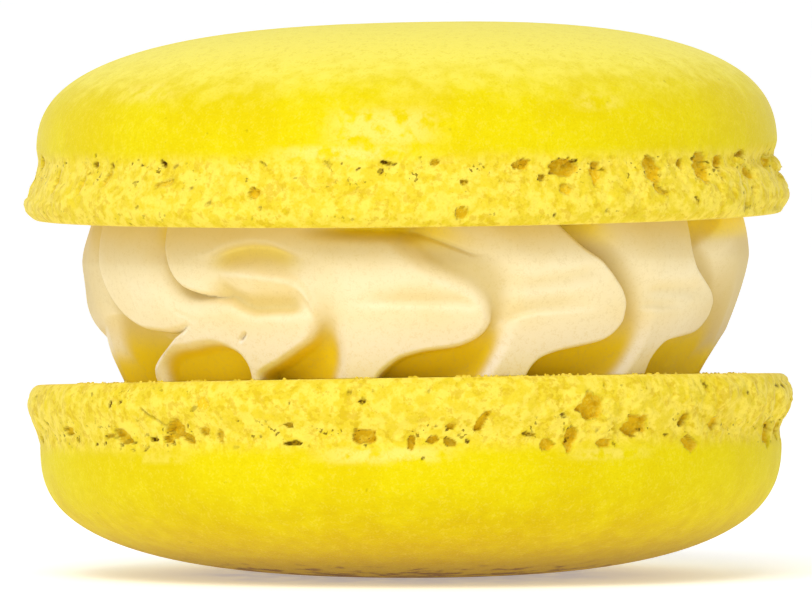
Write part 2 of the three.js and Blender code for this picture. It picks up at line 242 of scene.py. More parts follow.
# %% [markdown]
# Three effects are node groups: soft blotches of colour and fine grain, which shells and cream share, and
# small dark specks. A group takes coordinates and sizes in metres, and gives back one mask or height.

# %% Node groups for blotches, grain and specks
def ramp(value, low, high):
    """0 below the low value, 1 above the high one, and smooth between."""
    made = add(value.tree, "ShaderNodeMapRange", {"Value": value, "From Min": low, "From Max": high},
               interpolation_type="SMOOTHSTEP")
    return Number(made.outputs["Result"])


def noise_in(tree, vector, scale, detail, roughness=0.5):
    inputs = {"Vector": vector, "Scale": scale, "Detail": detail, "Roughness": roughness}
    return Number(add(tree, "ShaderNodeTexNoise", inputs).outputs[0])


def shader_group(name, inputs, output):
    """A shader tree that takes a vector and some numbers, and gives one number."""
    return new_tree(name, "ShaderNodeTree", {"Vector": ["Vector"], "Float": inputs}, {"Float": [output]})


def blotch_group():
    """Uneven patches of one Size as a soft mask, from 0 where noise is Low to 1 where it is High."""
    tree, given = shader_group("Blotches", ["Size", "Low", "High", "Detail"], "Mask")
    wave = noise_in(tree, given["Vector"], 1.0 / given["Size"], given["Detail"])
    add(tree, "NodeGroupOutput", {"Mask": ramp(wave, given["Low"], given["High"])})
    return tree


def grain_group():
    """Fine bumps of one Size, like ground almonds, as a height."""
    tree, given = shader_group("Grain", ["Size"], "Height")
    scale = 1.0 / given["Size"]
    fine = noise_in(tree, given["Vector"], scale, 3.0, roughness=0.6)
    coarse = noise_in(tree, given["Vector"], scale * 0.3, 2.0)
    add(tree, "NodeGroupOutput", {"Height": fine * 0.6 + coarse * 0.4})
    return tree


def speck_group():
    """Small specks in the cells of a pattern: the Size of a cell, the Share with a speck, and its Width."""
    tree, given = shader_group("Specks", ["Size", "Share", "Width"], "Mask")
    scale = 1.0 / given["Size"]
    warp = add(tree, "ShaderNodeTexNoise", {"Vector": given["Vector"], "Scale": scale * 4.0, "Detail": 1.0})
    push = add(tree, "ShaderNodeVectorMath", {0: warp.outputs["Color"], "Scale": given["Size"] * 0.35},
               operation="SCALE")
    shifted = add(tree, "ShaderNodeVectorMath", {0: given["Vector"], 1: push.outputs[0]}, operation="ADD")
    cells = add(tree, "ShaderNodeTexVoronoi", {"Vector": shifted.outputs[0], "Scale": scale}).outputs
    chance, play = add(tree, "ShaderNodeSeparateColor", {"Color": cells["Color"]}).outputs[:2]
    own_width = given["Width"] * (Number(play) + 0.4)
    inside = maths("MULTIPLY", own_width - cells["Distance"], 12.0, clamp=True)
    picked = maths("LESS_THAN", chance, given["Share"])
    add(tree, "NodeGroupOutput", {"Mask": inside * picked})
    return tree


blotches = blotch_group()
grain = grain_group()
specks = speck_group()
print("shader groups:", blotches.name, grain.name, specks.name)


# %% A material and its helpers
def start_material(name, values):
    """A new material with plain values on its Principled BSDF, and its tree."""
    material = bpy.data.materials.new(name)
    material.use_nodes = True
    for key, value in values.items():
        material.node_tree.nodes["Principled BSDF"].inputs[key].default_value = value
    return material, material.node_tree


def coat(tree, colour, height, relief):
    """Links a colour and a bump to the Principled BSDF."""
    surface = tree.nodes["Principled BSDF"].inputs
    bump = add(tree, "ShaderNodeBump", {"Height": height, **relief})
    tree.links.new(colour, surface["Base Color"])
    tree.links.new(bump.outputs[0], surface["Normal"])


def effect(tree, group, **values):
    """A node group on the object coordinates; gives its mask or height."""
    place = add(tree, "ShaderNodeTexCoord").outputs["Object"]
    return Number(add(tree, "ShaderNodeGroup", {"Vector": place, **values}, node_tree=group).outputs[0])


def attribute(tree, name):
    return Number(add(tree, "ShaderNodeAttribute", attribute_name=name).outputs["Fac"])


def mixed(tree, share, first, second):
    """A colour between two colours; each may be a colour or a socket."""
    return add(tree, "ShaderNodeMix", {0: share, 6: first, 7: second}, data_type="RGBA").outputs[2]


def layered(tree, colour, layers):
    """A colour with others over it, each after the share that it takes."""
    for share, above in layers:
        colour = mixed(tree, share, colour, above)
    return colour


# %% [markdown]
# ## The finish of the shells
# Baked meringue is matt, with fine grain. The dome is an even strong yellow; a painted highlight makes it
# paler towards its top, and painted shade darkens the lower dome towards its bottom. The foot is paler and
# crumbly, and the torn pits in it are painted darker, as the shade inside them.

# %% The material of a shell
DOME_YELLOW = screen(228, 210, 3)
DEEP_YELLOW = screen(220, 195, 0)
PALE_YELLOW = screen(246, 225, 92)
TOP_HIGHLIGHT_YELLOW = screen(247, 234, 96)
PALE_PATCH_YELLOW = screen(248, 229, 122)
FOOT_YELLOW = screen(241, 217, 72)
CREASE_SHADE_AND_CRUMB_OLIVE = screen(206, 168, 6)
PIT_FLOOR_SHADE = screen(233, 194, 28)
PIT_SHADE_AND_SPECK_BROWN = screen(96, 66, 8)
SPECK_BROWN = screen(112, 86, 8)
BASE_SHADE_OCHRE = screen(196, 155, 0)
BASE_SHADE_BROWN = screen(128, 66, 0)
SHELL_SURFACE = {"Roughness": 0.75, "Specular IOR Level": 0.05, "Sheen Roughness": 0.35}
SHELL_RELIEF = {"Strength": 0.7, "Distance": 0.08 * MM}
UPPER_SHEEN, LOWER_SHEEN = 0.19, 0.14
# Stages of painted light lie over the dome: a painted highlight towards the top of the upper shell, and
# painted shade towards the bottom of the lower one, darkest where it rests. Each has a colour, the shares
# of the height where it starts and is full, and its strength.
UPPER_PAINTED_HIGHLIGHT = [(TOP_HIGHLIGHT_YELLOW, 0.57, 0.85, 0.9)]
LOWER_PAINTED_SHADE = [(BASE_SHADE_OCHRE, 0.48, 1.0, 0.9), (BASE_SHADE_BROWN, 0.93, 0.985, 0.9)]


def shell_material(name, painted_stages, sheen):
    """The finish of a shell, with its stages of painted light and shade and its weight of sheen."""
    material, tree = start_material(name, {**SHELL_SURFACE, "Sheen Weight": sheen})
    rise, foot, pale, crease, pit, rim_shade_and_specks, cracked = (
        attribute(tree, key) for key in ("rise", "foot", "pale", "crease", "pit", "rim_shade_and_specks", "cracked"))

    def patches(size, low, high, detail=4.0):
        return effect(tree, blotches, Size=size * MM, Low=low, High=high, Detail=detail)

    def grains(size):
        return effect(tree, grain, Size=size * MM)

    ragged_rise = rise + (patches(1.1, 0.3, 0.7) - 0.5) * 0.1
    crumbly = mixed(tree, patches(0.65, 0.42, 0.57), DEEP_YELLOW, PALE_YELLOW)
    fine, crumb = grains(0.13), grains(0.18)
    torn = pit * (crumb * 4.0 - 1.0)
    inside = mixed(tree, ramp(crumb, 0.48, 0.58) * 0.6, PIT_FLOOR_SHADE, FOOT_YELLOW)
    broken = ramp(crumb, 0.44, 0.54) * 0.75 + 0.5
    ticks = patches(0.24, 0.58, 0.62, detail=3.0) * 0.85 * (cracked * patches(0.9, 0.56, 0.62))
    specked = effect(tree, specks, Size=1.1 * MM, Share=0.3, Width=0.09) * (foot * 0.4 + 0.3)

    # From the bottom up: the dome with broad patches, its stages of painted highlight and shade with ragged
    # borders, and the crumbly foot.
    layers = [(patches(5, 0.42, 0.62) * 0.5, DEEP_YELLOW)]
    for colour, start, full, strength in painted_stages:
        layers.append((ramp(ragged_rise, start, full) * strength, colour))
    layers.append((foot, mixed(tree, 0.5, crumbly, FOOT_YELLOW)))
    # Pale patches above the foot, the largest at the front a painted highlight, crumbs on the foot, and grain
    # everywhere: pale tops and deeper hollows.
    layers += [
        (pale * patches(0.8, 0.38, 0.55) * 0.7, PALE_PATCH_YELLOW),
        (ramp(grains(0.34), 0.48, 0.4) * (foot * 0.5), CREASE_SHADE_AND_CRUMB_OLIVE),
        (ramp(fine, 0.5, 0.64) * 0.2, PALE_YELLOW),
        (ramp(fine, 0.5, 0.36) * 0.4, DEEP_YELLOW),
    ]
    # Painted shade in the creases between lumps, painted shade on the pit floors with torn edges, painted
    # shadow on one side of the rims together with the dark of small pits and specks, ticks where the skin has
    # cracked, and fine specks.
    layers += [
        (crease * 0.3, CREASE_SHADE_AND_CRUMB_OLIVE),
        (ramp(torn, 0.1, 0.26), inside),
        (rim_shade_and_specks * broken, PIT_SHADE_AND_SPECK_BROWN),
        (ticks, SPECK_BROWN),
        (specked, SPECK_BROWN),
    ]
    coat(tree, layered(tree, DOME_YELLOW, layers), fine, SHELL_RELIEF)
    return material


upper_finish = shell_material("shell_upper", UPPER_PAINTED_HIGHLIGHT, UPPER_SHEEN)
lower_finish = shell_material("shell_lower", LOWER_PAINTED_SHADE, LOWER_SHEEN)
print("finishes:", upper_finish.name, lower_finish.name)

# %% [markdown]
# ## Turning the two shells
# The upper shell stands on the cream. The lower one is the same kind of shell turned over. Each is a little
# tilted, and its dome leans a little, because piped batter never settles quite evenly.

# %% Sizes and places of the shells
FOOT_HEIGHT = 3.6  # mm
SHELL = {"Foot Radius": 22.35 * MM, "Waist Radius": 21.68 * MM, "Foot Height": FOOT_HEIGHT * MM,
         "Lip Height": 1.1 * MM, "Lip Round": 0.7 * MM, "Plan Power": 2.6, "Rise Power": 2.75,
         "Front Closeness": 0.4}
UPPER_HEIGHT = 11.3 * MM
LOWER_HEIGHT = 11.52 * MM
LOWER_FACE = 11.45 * MM  # height of the lower shell's flat face on the axis
CREAM_THICKNESS = 9.62 * MM
UPPER_TILT = (-3.7, 0.62)  # degrees that the front edge and the right edge are raised
LOWER_TILT = (0.3, 0.9)
UPPER_LEAN = -0.7  # degrees that a dome leans, beyond its tilt
LOWER_LEAN = 0.8
UPPER_SHIFT = -0.06 * MM  # how far a shell stands to the right of the axis
LOWER_SHIFT = 0.08 * MM


def tilted(tilt):
    front, right = (math.radians(value) for value in tilt)
    return Matrix.Rotation(-front, 4, "X") @ Matrix.Rotation(-right, 4, "Y")


upper_place = Matrix.Translation((UPPER_SHIFT, 0, LOWER_FACE + CREAM_THICKNESS)) @ tilted(UPPER_TILT)
lower_place = Matrix.Translation((LOWER_SHIFT, 0, LOWER_FACE)) @ tilted(LOWER_TILT)
print(f"the shells' faces are {CREAM_THICKNESS / MM:.2f} mm apart")


# %% Read and write a mesh as arrays
def points_of(mesh):
    flat = np.empty(len(mesh.vertices) * 3)
    mesh.vertices.foreach_get("co", flat)
    return flat.reshape(-1, 3)


def move_points(mesh, points):
    mesh.vertices.foreach_set("co", np.ascontiguousarray(points, dtype=np.float32).ravel())
    mesh.update()


def placed(points, place):
    matrix = np.array(place)
    return points @ matrix[:3, :3].T + matrix[:3, 3]


def give_values(mesh, name, values):
    layer = mesh.attributes.new(name, "FLOAT", "POINT")
    layer.data.foreach_set("value", np.asarray(values, dtype=np.float32))


def smooth(x, low, high):
    t = np.clip((x - low) / (high - low), 0, 1)
    return t * t * (3 - 2 * t)


def through(stations, at):
    """A smooth curve through a few stations (x, y), without overshoot, read off at some places."""
    x, y = np.array(stations, dtype=float).T
    step = np.diff(x)
    slope = np.diff(y) / step
    bend = np.zeros(len(x))
    agree = slope[:-1] * slope[1:] > 0
    with np.errstate(divide="ignore", invalid="ignore"):
        mean = 2 * slope[:-1] * slope[1:] / (slope[:-1] + slope[1:])
    bend[1:-1] = np.where(agree, mean, 0)
    bend[0], bend[-1] = slope[0], slope[-1]
    at = np.clip(at, x[0], x[-1])
    k = np.clip(np.searchsorted(x, at, side="right") - 1, 0, len(x) - 2)
    t = (at - x[k]) / step[k]
    h = step[k]
    return (y[k] * (1 + 2 * t) * (1 - t) ** 2 + bend[k] * h * t * (1 - t) ** 2
            + y[k + 1] * t * t * (3 - 2 * t) - bend[k + 1] * h * t * t * (1 - t))


# %% [markdown]
# ## The foot
# As a shell bakes, its skin lifts and the batter below spills out as a ruffled foot, full of torn pits. It
# could be sculpted by hand, but a rule is easier to repeat and to change: noise for the lumps, listed pits
# where they show most, and a scatter of small ones and of dark specks all round.

# %% Noise for many points
def wobble(points, size, seed):
    """Smooth noise from about -1 to 1 at each point."""
    shift = Vector((seed * 3.1, seed * 7.7, seed * 1.3))
    return np.array([noise.noise(Vector(p) / size + shift) for p in points])


# %% [markdown]
# A pit is written as its angle from the front, its distance from the flat face, its width and height, its
# depth, how far it is turned, and how dark it is painted: as shadow along one side of its rim, and all over
# for a small pit or speck, whose own colour is dark. It is turned anticlockwise on the upper shell and
# clockwise on the lower one. Angles are in degrees, sizes in millimetres. Large torn pits are made of
# several that overlap.

# %% The pits that show most
UPPER_PITS = [
    (-65.5, 2.4, 0.5, 1.3, 0.3, -20, 0.3), (-56.2, 2.2, 0.4, 1.1, 0.22, -22, 0.2),
    (-50, 2.6, 0.4, 1.1, 0.22, -45, 0.3), (-53.5, 3.4, 0.55, 0.35, 0.3, 0, 1),
    (-49, 3.35, 0.3, 0.4, 0.25, 0, 0.8), (-38, 3.45, 0.55, 0.25, 0.25, -35, 1),
    (-37.5, 2.4, 1.4, 0.35, 0.25, 15, 0.2), (-22, 1.9, 0.65, 0.6, 0.45, 0, 0.5),
    (-3, 3.5, 0.7, 0.25, 0.25, -15, 0.9), (4, 3.5, 0.45, 0.35, 0.3, 0, 0.3),
    (8, 2.4, 0.4, 0.35, 0.3, 0, 0.9), (7.5, 0.75, 0.65, 0.65, 0.4, 0, 0.8),
    (16.5, 3.3, 0.95, 0.55, 0.5, 10, 0.4), (19.5, 2.6, 0.4, 0.35, 0.3, 0, 0.8),
    (23, 3.15, 1.65, 0.95, 0.8, 5, 0.5), (23, 1.95, 0.7, 0.55, 0.3, 0, 0.3),
    (28, 2.85, 0.7, 1.15, 0.5, -8, 0.4), (38, 2.9, 1.3, 1.35, 0.7, 8, 0.8),
    (38.8, 1.75, 1, 0.35, 0.3, -30, 0.4), (44, 3.2, 0.4, 0.55, 0.4, 0, 1),
    (48.5, 2.85, 1.5, 1.6, 0.7, 10, 0.9), (53, 3.15, 1.1, 0.7, 0.6, 20, 0.9),
    (60.5, 3.6, 1.3, 0.4, 0.4, 10, 0.9), (62, 2.5, 1.5, 0.7, 0.5, -15, 0.6),
    (59.5, 1.1, 0.35, 1.5, 0.3, 12, 0.6), (73, 3, 1.1, 0.6, 0.5, 0, 0.7),
]
LOWER_PITS = [
    (-47, 2.96, 1.25, 0.7, 0.5, 20, 0.45), (-36.2, 2.6, 1.05, 0.95, 0.8, 0, 0.5),
    (-40.5, 3.15, 0.6, 0.25, 0.3, 0, 0.9), (-31, 2.75, 0.6, 0.5, 0.4, 0, 0.5),
    (-28.5, 3, 0.4, 0.6, 0.3, 0, 0.4), (-30.5, 1.2, 0.8, 0.8, 0.25, 0, 0.1),
    (-48, 1.2, 0.5, 0.22, 0.2, -45, 0.9), (-61.5, 2.65, 1.1, 0.45, 0.35, 0, 0.8),
    (-17, 3.45, 0.95, 0.3, 0.35, 0, 0.9), (-17.5, 2.45, 0.45, 0.35, 0.3, 0, 0.7),
    (-6.5, 3.1, 1.25, 0.8, 0.6, 0, 0.5), (-6.5, 1.25, 0.4, 0.28, 0.25, 0, 0.9),
    (0, 3.5, 0.42, 0.7, 0.45, 0, 0.9), (3, 3.35, 0.7, 0.45, 0.4, 0, 0.9),
    (5.5, 3.55, 0.75, 0.42, 0.4, 15, 1), (5.5, 2.65, 0.5, 0.4, 0.35, 0, 0.6),
    (10, 2.4, 0.45, 1.1, 0.5, 28, 0.5), (17, 3.15, 0.7, 0.22, 0.25, 8, 0.6),
    (20, 3.75, 0.8, 0.6, 0.4, 0, 0.5), (26, 1.75, 1.5, 1.4, 0.8, -20, 0.4),
    (23.5, 3.4, 0.7, 1.4, 0.6, 25, 0.5), (29, 3.7, 1.15, 0.5, 0.4, 0, 0.5),
    (34, 2.75, 1.4, 1.15, 0.7, 0, 0.8), (43.5, 2.5, 0.5, 1, 0.6, 30, 1),
    (45.5, 3.85, 1.3, 0.7, 0.5, 25, 0.8), (50.5, 2.7, 0.85, 0.6, 0.35, 0, 0.6),
    (69, 3.3, 1.8, 1.4, 0.7, 15, 0.9), (-50, 2.95, 1, 0.28, 0.25, -10, 0.3),
    (-46.6, 3.25, 0.6, 0.34, 0.4, 0, 0.5), (-34.2, 3.1, 1.1, 0.42, 0.5, 35, 0.5),
    (-37.6, 3.15, 0.75, 0.55, 0.5, 0, 0.5), (-39.8, 1.95, 2, 0.14, 0.15, 31, 0.25),
]


# %% Small pits and dark specks by chance
PITS_LISTED = 76  # degrees each side of the front
SMALL_PITS = 60
UPPER_SPECKS = 130
LOWER_SPECKS = 150


def mirrored(pits):
    """The pits of a shell that will be turned over, which swaps left and right."""
    return [(-at, up, wide, tall, deep, -slant, dark) for at, up, wide, tall, deep, slant, dark in pits]


def small_pits(dice, count):
    """Pits round the part of the foot that has none listed."""
    made = []
    for i in range(count):
        wide = 0.5 + 1.2 * dice.random() ** 2
        tall = wide * (0.5 + 0.6 * dice.random())
        at = PITS_LISTED + (360 - 2 * PITS_LISTED) * (i + dice.random()) / count
        up = FOOT_HEIGHT * (0.3 + 0.65 * (1 - dice.random() ** 2))
        deep = (0.35 + 0.2 * dice.random()) * wide
        made.append((at, up, wide, tall, deep, 60 * (dice.random() - 0.5), 0.7))
    return made


def dark_specks(dice, count):
    """Specks that are thickest along the waist, with some along the lip and a few anywhere."""
    made = []
    for i in range(count):
        chance = dice.random()
        up = 3.25 + 0.4 * dice.normal() if chance < 0.5 else 0.5 + 0.25 * abs(dice.normal())
        if chance > 0.7:
            up = 0.4 + 3.2 * dice.random()
        long = 0.14 + 0.4 * dice.random() ** 2
        made.append((360 * dice.random(), up, long, 0.1 + long * 0.45 * dice.random(), 0.1,
                     90 * dice.random() - 45, 0.3 + 0.7 * dice.random()))
    return made


dice = np.random.default_rng(11)
upper_pits = UPPER_PITS + small_pits(dice, SMALL_PITS) + dark_specks(dice, UPPER_SPECKS)
lower_pits = mirrored(LOWER_PITS) + small_pits(dice, SMALL_PITS) + dark_specks(dice, LOWER_SPECKS)
print(len(upper_pits), "and", len(lower_pits), "pits and specks")


# %% Lumps on the foot
def lumps_at(spots, strength, seed):
    """Puffed lumps with creases between them, in mm, and where the creases are."""
    turn = np.degrees(np.arctan2(spots[:, 0], -spots[:, 1]))
    fine = 1 - 0.65 * smooth(np.abs(turn), 35, 65)  # the sides are less crumbly
    crumb = np.abs(wobble(spots, 0.42 * MM, seed + 2))
    dust = wobble(spots, 0.17 * MM, seed + 3)
    ragged = 0.2 * (crumb - 0.2) + 0.1 * dust
    puff = np.abs(wobble(spots, 2.3 * MM, seed) + ragged)
    swell = np.abs(wobble(spots, 1.0 * MM, seed + 1) + ragged)
    rise = strength * (0.42 * (puff - 0.22) + 0.2 * (swell - 0.2))
    rise += fine * (0.08 * (crumb - 0.2) + 0.03 * dust)
    patchy = smooth(wobble(spots, 1.5 * MM, seed + 4), -0.1, 0.4)
    # Where the creases between lumps are; the finish paints them darker, as shade.
    crease = strength * patchy * np.maximum(1 - smooth(puff, 0, 0.1), 0.7 * (1 - smooth(swell, 0, 0.08)))
    return rise, np.clip(crease, 0, 1)


def arc_from(turn, at):
    """How far round the foot some angles are from one angle, in mm."""
    away = (turn - at + 180) % 360 - 180
    return np.radians(away) * SHELL["Foot Radius"] / MM


def bulges_at(turn, up, bulges):
    """Rounded lumps that swell past the foot: an angle, then place up, width, height and rise in mm."""
    most = np.zeros(len(turn))
    for at, height, wide, tall, rise in bulges:
        across = arc_from(turn, at) / (wide / 2)
        inside = np.clip(1 - across ** 2 - ((up - height) / (tall / 2)) ** 2, 0, 1)
        most = np.maximum(most, rise * np.sqrt(inside))
    return most


# %% Pits in the foot
PIT_SIDES = 5
PIT_DEPTH = 0.85  # share of the listed depths that is carved; painted shade on the pit floors stands for the rest


def torn_outline(across, upward, dice):
    """The squared distance from the middle of a pit, measured so that its circle is an uneven polygon."""
    corner = 2 * math.pi * dice.random()
    side = np.zeros(len(across))
    for k in range(PIT_SIDES):
        angle = corner + 2 * math.pi * (k + 0.5 * dice.random()) / PIT_SIDES
        side = np.maximum(side, across * math.cos(angle) + upward * math.sin(angle))
    return 0.35 * (across ** 2 + upward ** 2) + 0.9 * side ** 2


def pits_at(turn, up, spots, pits, seed, lit_from):
    """How deep the pits are at each spot in mm, and how dark they are painted: shadow along one side of the
    rim, and the own dark colour of small pits and specks.
    """
    dice = np.random.default_rng(seed)
    across_play = 0.34 * wobble(spots, 0.55 * MM, seed) + 0.2 * wobble(spots, 0.2 * MM, seed + 1)
    up_play = 0.34 * wobble(spots, 0.55 * MM, seed + 2) + 0.2 * wobble(spots, 0.2 * MM, seed + 3)
    uneven = 1 + 0.2 * wobble(spots, 0.3 * MM, seed + 4)
    deepest, darkest = np.zeros(len(turn)), np.zeros(len(turn))
    for at, height, wide, tall, deep, slant, dark in pits:
        x, y = arc_from(turn, at), up - height
        close = np.flatnonzero((np.abs(x) < 1.2 * (wide + tall)) & (np.abs(y) < 1.2 * (wide + tall)))
        c, s = math.cos(math.radians(slant)), math.sin(math.radians(slant))
        across = (x[close] * c + y[close] * s) / (0.55 * wide) + across_play[close]
        upward = (y[close] * c - x[close] * s) / (0.55 * tall) + up_play[close]
        open_share = smooth(1.1 - torn_outline(across, upward, dice), 0, 0.4)
        # Painted shadow along one side of each rim; small pits and specks are dark all over with their own
        # colour.
        rim = 4 * open_share * (1 - open_share) * smooth(-across * lit_from, -0.9, 0.7)
        small = 1 - smooth(np.full(len(close), min(wide, tall)), 0.2, 0.5)
        deepest[close] = np.maximum(deepest[close], deep * open_share * uneven[close])
        darkest[close] = np.maximum(darkest[close], dark * np.maximum(rim, small * open_share))
    return deepest, darkest


# %% [markdown]
# The foot is rougher in some places than in others. Stations (degrees, value) say how lumpy it is and how
# far it sinks in, in millimetres. Bulges swell on the sunken part, and the dome has a few pale patches; the
# largest, at the front of the upper dome, is a painted highlight.

# %% Where a foot is lumpy and where a dome is pale
UPPER_FOOT = {
    "lumps": [(-180, 1), (-90, 0.5), (-50, 0.45), (0, 0.5), (35, 0.7), (60, 0.7), (90, 0.6), (120, 1),
              (180, 1)],
    "sink": [(-180, 0), (-100, 0), (-85, 0.16), (-60, 0.1), (-40, 0), (50, 0), (62, 0.2), (75, 0.38),
             (100, 0.38), (125, 0), (180, 0)],
    "bulges": [(69, 1.25, 5, 2.1, 0.3), (88, 1.25, 8, 2.2, 0.36), (83, 2.85, 3.4, 1, 0.4),
               (55, 1.25, 3.2, 2.2, 0.26), (48, 1.2, 2.8, 1.9, 0.18), (68, 2.4, 3, 1, 0.3),
               (60.5, 3.3, 1.6, 0.6, 0.3), (56, 2.4, 2.4, 1, 0.2), (74, 3.1, 1.6, 0.7, 0.3),
               (44.5, 0.9, 1.5, 1, 0.14), (37.5, 1.25, 1.8, 1.6, 0.12), (31.5, 1.3, 1.9, 1.4, 0.1),
               (-80, 0.7, 16, 1.3, 0.26), (-62, 1.4, 3, 1.8, 0.15)],
    # The first pale patch, at the front of the dome, is a painted highlight.
    "pale": [(-3.5, 5.4, 7.7, 1.05, 0.9), (-9, 4.05, 9.5, 0.4, 1), (30, 6.6, 4.2, 0.4, 0.5),
             (-45, 7.5, 6.6, 0.5, 0.5)],
    "seed": 1,
}
LOWER_FOOT = {
    "lumps": [(-180, 1), (-90, 0.5), (-40, 0.5), (10, 0.6), (45, 0.9), (90, 0.8), (180, 1)],
    "sink": [(-180, 0), (60, 0), (75, 0.15), (100, 0.15), (125, 0), (180, 0)],
    "bulges": [(80, 1.6, 8, 2.4, 0.24), (60, 2.0, 3.5, 2.2, 0.2), (52, 1.2, 3, 1.6, 0.15),
               (-75, 1.5, 6, 2.4, 0.1)],
    "pale": [(-4, 4.15, 9, 0.45, 1), (30, 4.3, 6.6, 0.3, 0.6), (-40, 4.2, 5.3, 0.3, 0.4)],
    "seed": 40,
}


def soft_patches(across, up, patches):
    """The strongest of some soft patches: place across and up, half width, half height and strength."""
    most = np.zeros(across.shape)
    for at, height, wide, tall, strength in patches:
        patch = np.exp(-((across - at) / wide) ** 4 - ((up - height) / tall) ** 4)
        most = np.maximum(most, strength * patch)
    return most


# %% Shape the foot and note where its colours lie
SKIN_EDGE = (3.2, 4.3)  # mm, the heights between which the foot gives way to the dome's skin
FACE_EDGE = (18 * MM, 20 * MM)  # the radii between which the flat face gives way to the foot
PITS_TOP = 5.2  # mm


def finish_foot(points, pits, foot, lit_from):
    """Moves the points of an unplaced shell; gives them, the values that its finish needs, and the angle and
    height of each. With lit_from -1 angles run the other way, for a shell that is then turned over."""
    turn = np.degrees(np.arctan2(points[:, 0], -points[:, 1]))
    up = points[:, 2] / MM
    plan = np.hypot(points[:, 0], points[:, 1])
    below_skin = 1 - smooth(up, *SKIN_EDGE)
    band = smooth(up, 0, 0.5) * below_skin * smooth(plan, *FACE_EDGE)
    near = np.flatnonzero((up > 0) & (up < PITS_TOP) & (plan > FACE_EDGE[0]))
    spots = points[near]
    side = turn[near] * lit_from
    rise, crease = lumps_at(spots, through(foot["lumps"], side), foot["seed"])
    rise += bulges_at(side, up[near], foot["bulges"]) - through(foot["sink"], side)
    pit, dark = pits_at(turn[near], up[near], spots, pits, foot["seed"] + 10, lit_from)
    rim = smooth(up[near], 0.05, 0.3)
    move = (band[near] * rise - rim * PIT_DEPTH * pit) * MM
    points = points.copy()
    points[near, :2] += spots[:, :2] / plan[near, None] * move[:, None]
    values = {name: np.zeros(len(points)) for name in ("pit", "rim_shade_and_specks", "crease")}
    values["pit"][near] = pit
    values["rim_shade_and_specks"][near] = dark
    values["crease"][near] = crease * band[near]
    values["foot"] = below_skin
    waist, lip = np.exp(-((up - 2.9) / 0.7) ** 2), np.exp(-((up - 0.6) / 0.3) ** 2)
    values["cracked"] = band * np.maximum(waist, 0.6 * lip)
    return points, values, turn * lit_from, up


# %% The shells
def make_shell(name, height, lean, pits, foot, finish, place, turned_over):
    shell = grown(turned_shell, {**SHELL, "Height": height, "Material": finish}, name)
    mesh = shell.data
    lit_from = -1 if turned_over else 1
    points = points_of(mesh)
    give_values(mesh, "rise", points[:, 2] / height)
    points, values, turn, up = finish_foot(points, pits, foot, lit_from)
    for key, value in values.items():
        give_values(mesh, key, value)
    give_values(mesh, "pale", soft_patches(turn, up, foot["pale"]))
    above = np.maximum(0, points[:, 2] - SHELL["Foot Height"]) / (height - SHELL["Foot Height"])
    points[:, 2] -= math.tan(math.radians(lean)) * points[:, 0] * above
    if turned_over:
        points = points * (-1, 1, -1)
    points = placed(points, place)
    points[:, 2] = np.maximum(points[:, 2], 0)  # the lower dome rests on a small flat spot
    move_points(mesh, points)
    print(name, len(mesh.vertices), "vertices,", len(mesh.polygons), "faces")
    return shell


shell_upper = make_shell("macaron_shell_upper", UPPER_HEIGHT, UPPER_LEAN, upper_pits, UPPER_FOOT,
                         upper_finish, upper_place, turned_over=False)
shell_lower = make_shell("macaron_shell_lower", LOWER_HEIGHT, LOWER_LEAN, lower_pits, LOWER_FOOT,
                         lower_finish, lower_place, turned_over=True)

# %% [markdown]
# ## The cream
# A star nozzle held upright and turned leaves a ring of lobes that lean over to one side, each lapping over
# the next, with a hollow under every lap. That is too irregular for a lathe and too regular for sculpting.
# So the side of the cream is one sheet of points round the macaron, and every point is pushed in from the
# crest by a depth that is worked out from the furrows between the lobes.

# %% The crest of the cream
CREAM_RIGHT = 0.4 * MM  # how far its middle stands to the right of the axis
SEAM = 0.02 * MM
BELLY, FOOT_CREST, CROWN = 19.55, 17.0, 19.3  # crest radius in mm, at the widest and at both ends
BELLY_SHARE = 0.75


def crest_radius(share):
    below = np.maximum(0, 1 - share / BELLY_SHARE)
    above = np.maximum(0, (share - BELLY_SHARE) / (1 - BELLY_SHARE))
    return BELLY - (BELLY - FOOT_CREST) * below ** 1.35 - (BELLY - CROWN) * above ** 2


# %% [markdown]
# Each fold is a line of stations (degrees, height share), drawn so that the lobe in front lies on its left.
# Height shares run from 0 on the lower shell to 1 under the upper one. Along the line, "deep" says how far
# the sheet drops behind the lobe in front, "roll" how wide that lobe rounds off, "climb" how wide the sheet
# climbs back behind it, and "flat" how long it stays down before it climbs. Some folds have more: "soft"
# makes the edge of the lobe in front gentle, and "cover" says how far that lobe hides what the earlier
# folds of the list did. All but "flat" and "soft" are in millimetres. Each is one number, or stations
# (share of the way along the line, value).

# %% The folds at the left
LEFT_BACK = dict(
    line=[(-102, 0.2), (-94, 0.25), (-87, 0.295), (-81, 0.325), (-76, 0.345), (-72, 0.355)],
    deep=[(0, 0.35), (0.6, 0.35), (1, 0)], roll=0.8,
    climb=[(0, 2), (1, 1)], flat=1,
)
LOWER_ARM = dict(
    line=[(-44.6, 0.349), (-47.6, 0.317), (-50, 0.292), (-52.2, 0.26), (-54.2, 0.229), (-56.1, 0.191),
          (-57.8, 0.153), (-59.3, 0.103), (-60.5, 0.022), (-60.7, -0.04)],
    deep=[(0, 0), (0.15, 0.5), (0.35, 1.1), (0.6, 1.5), (0.8, 1.7), (1, 1.7)],
    roll=[(0, 0.3), (0.3, 0.4), (0.6, 0.4), (1, 0.4)],
    climb=[(0, 1.5), (0.3, 3), (0.6, 5), (1, 6)], flat=[(0, 2), (0.5, 3), (1, 3)],
)
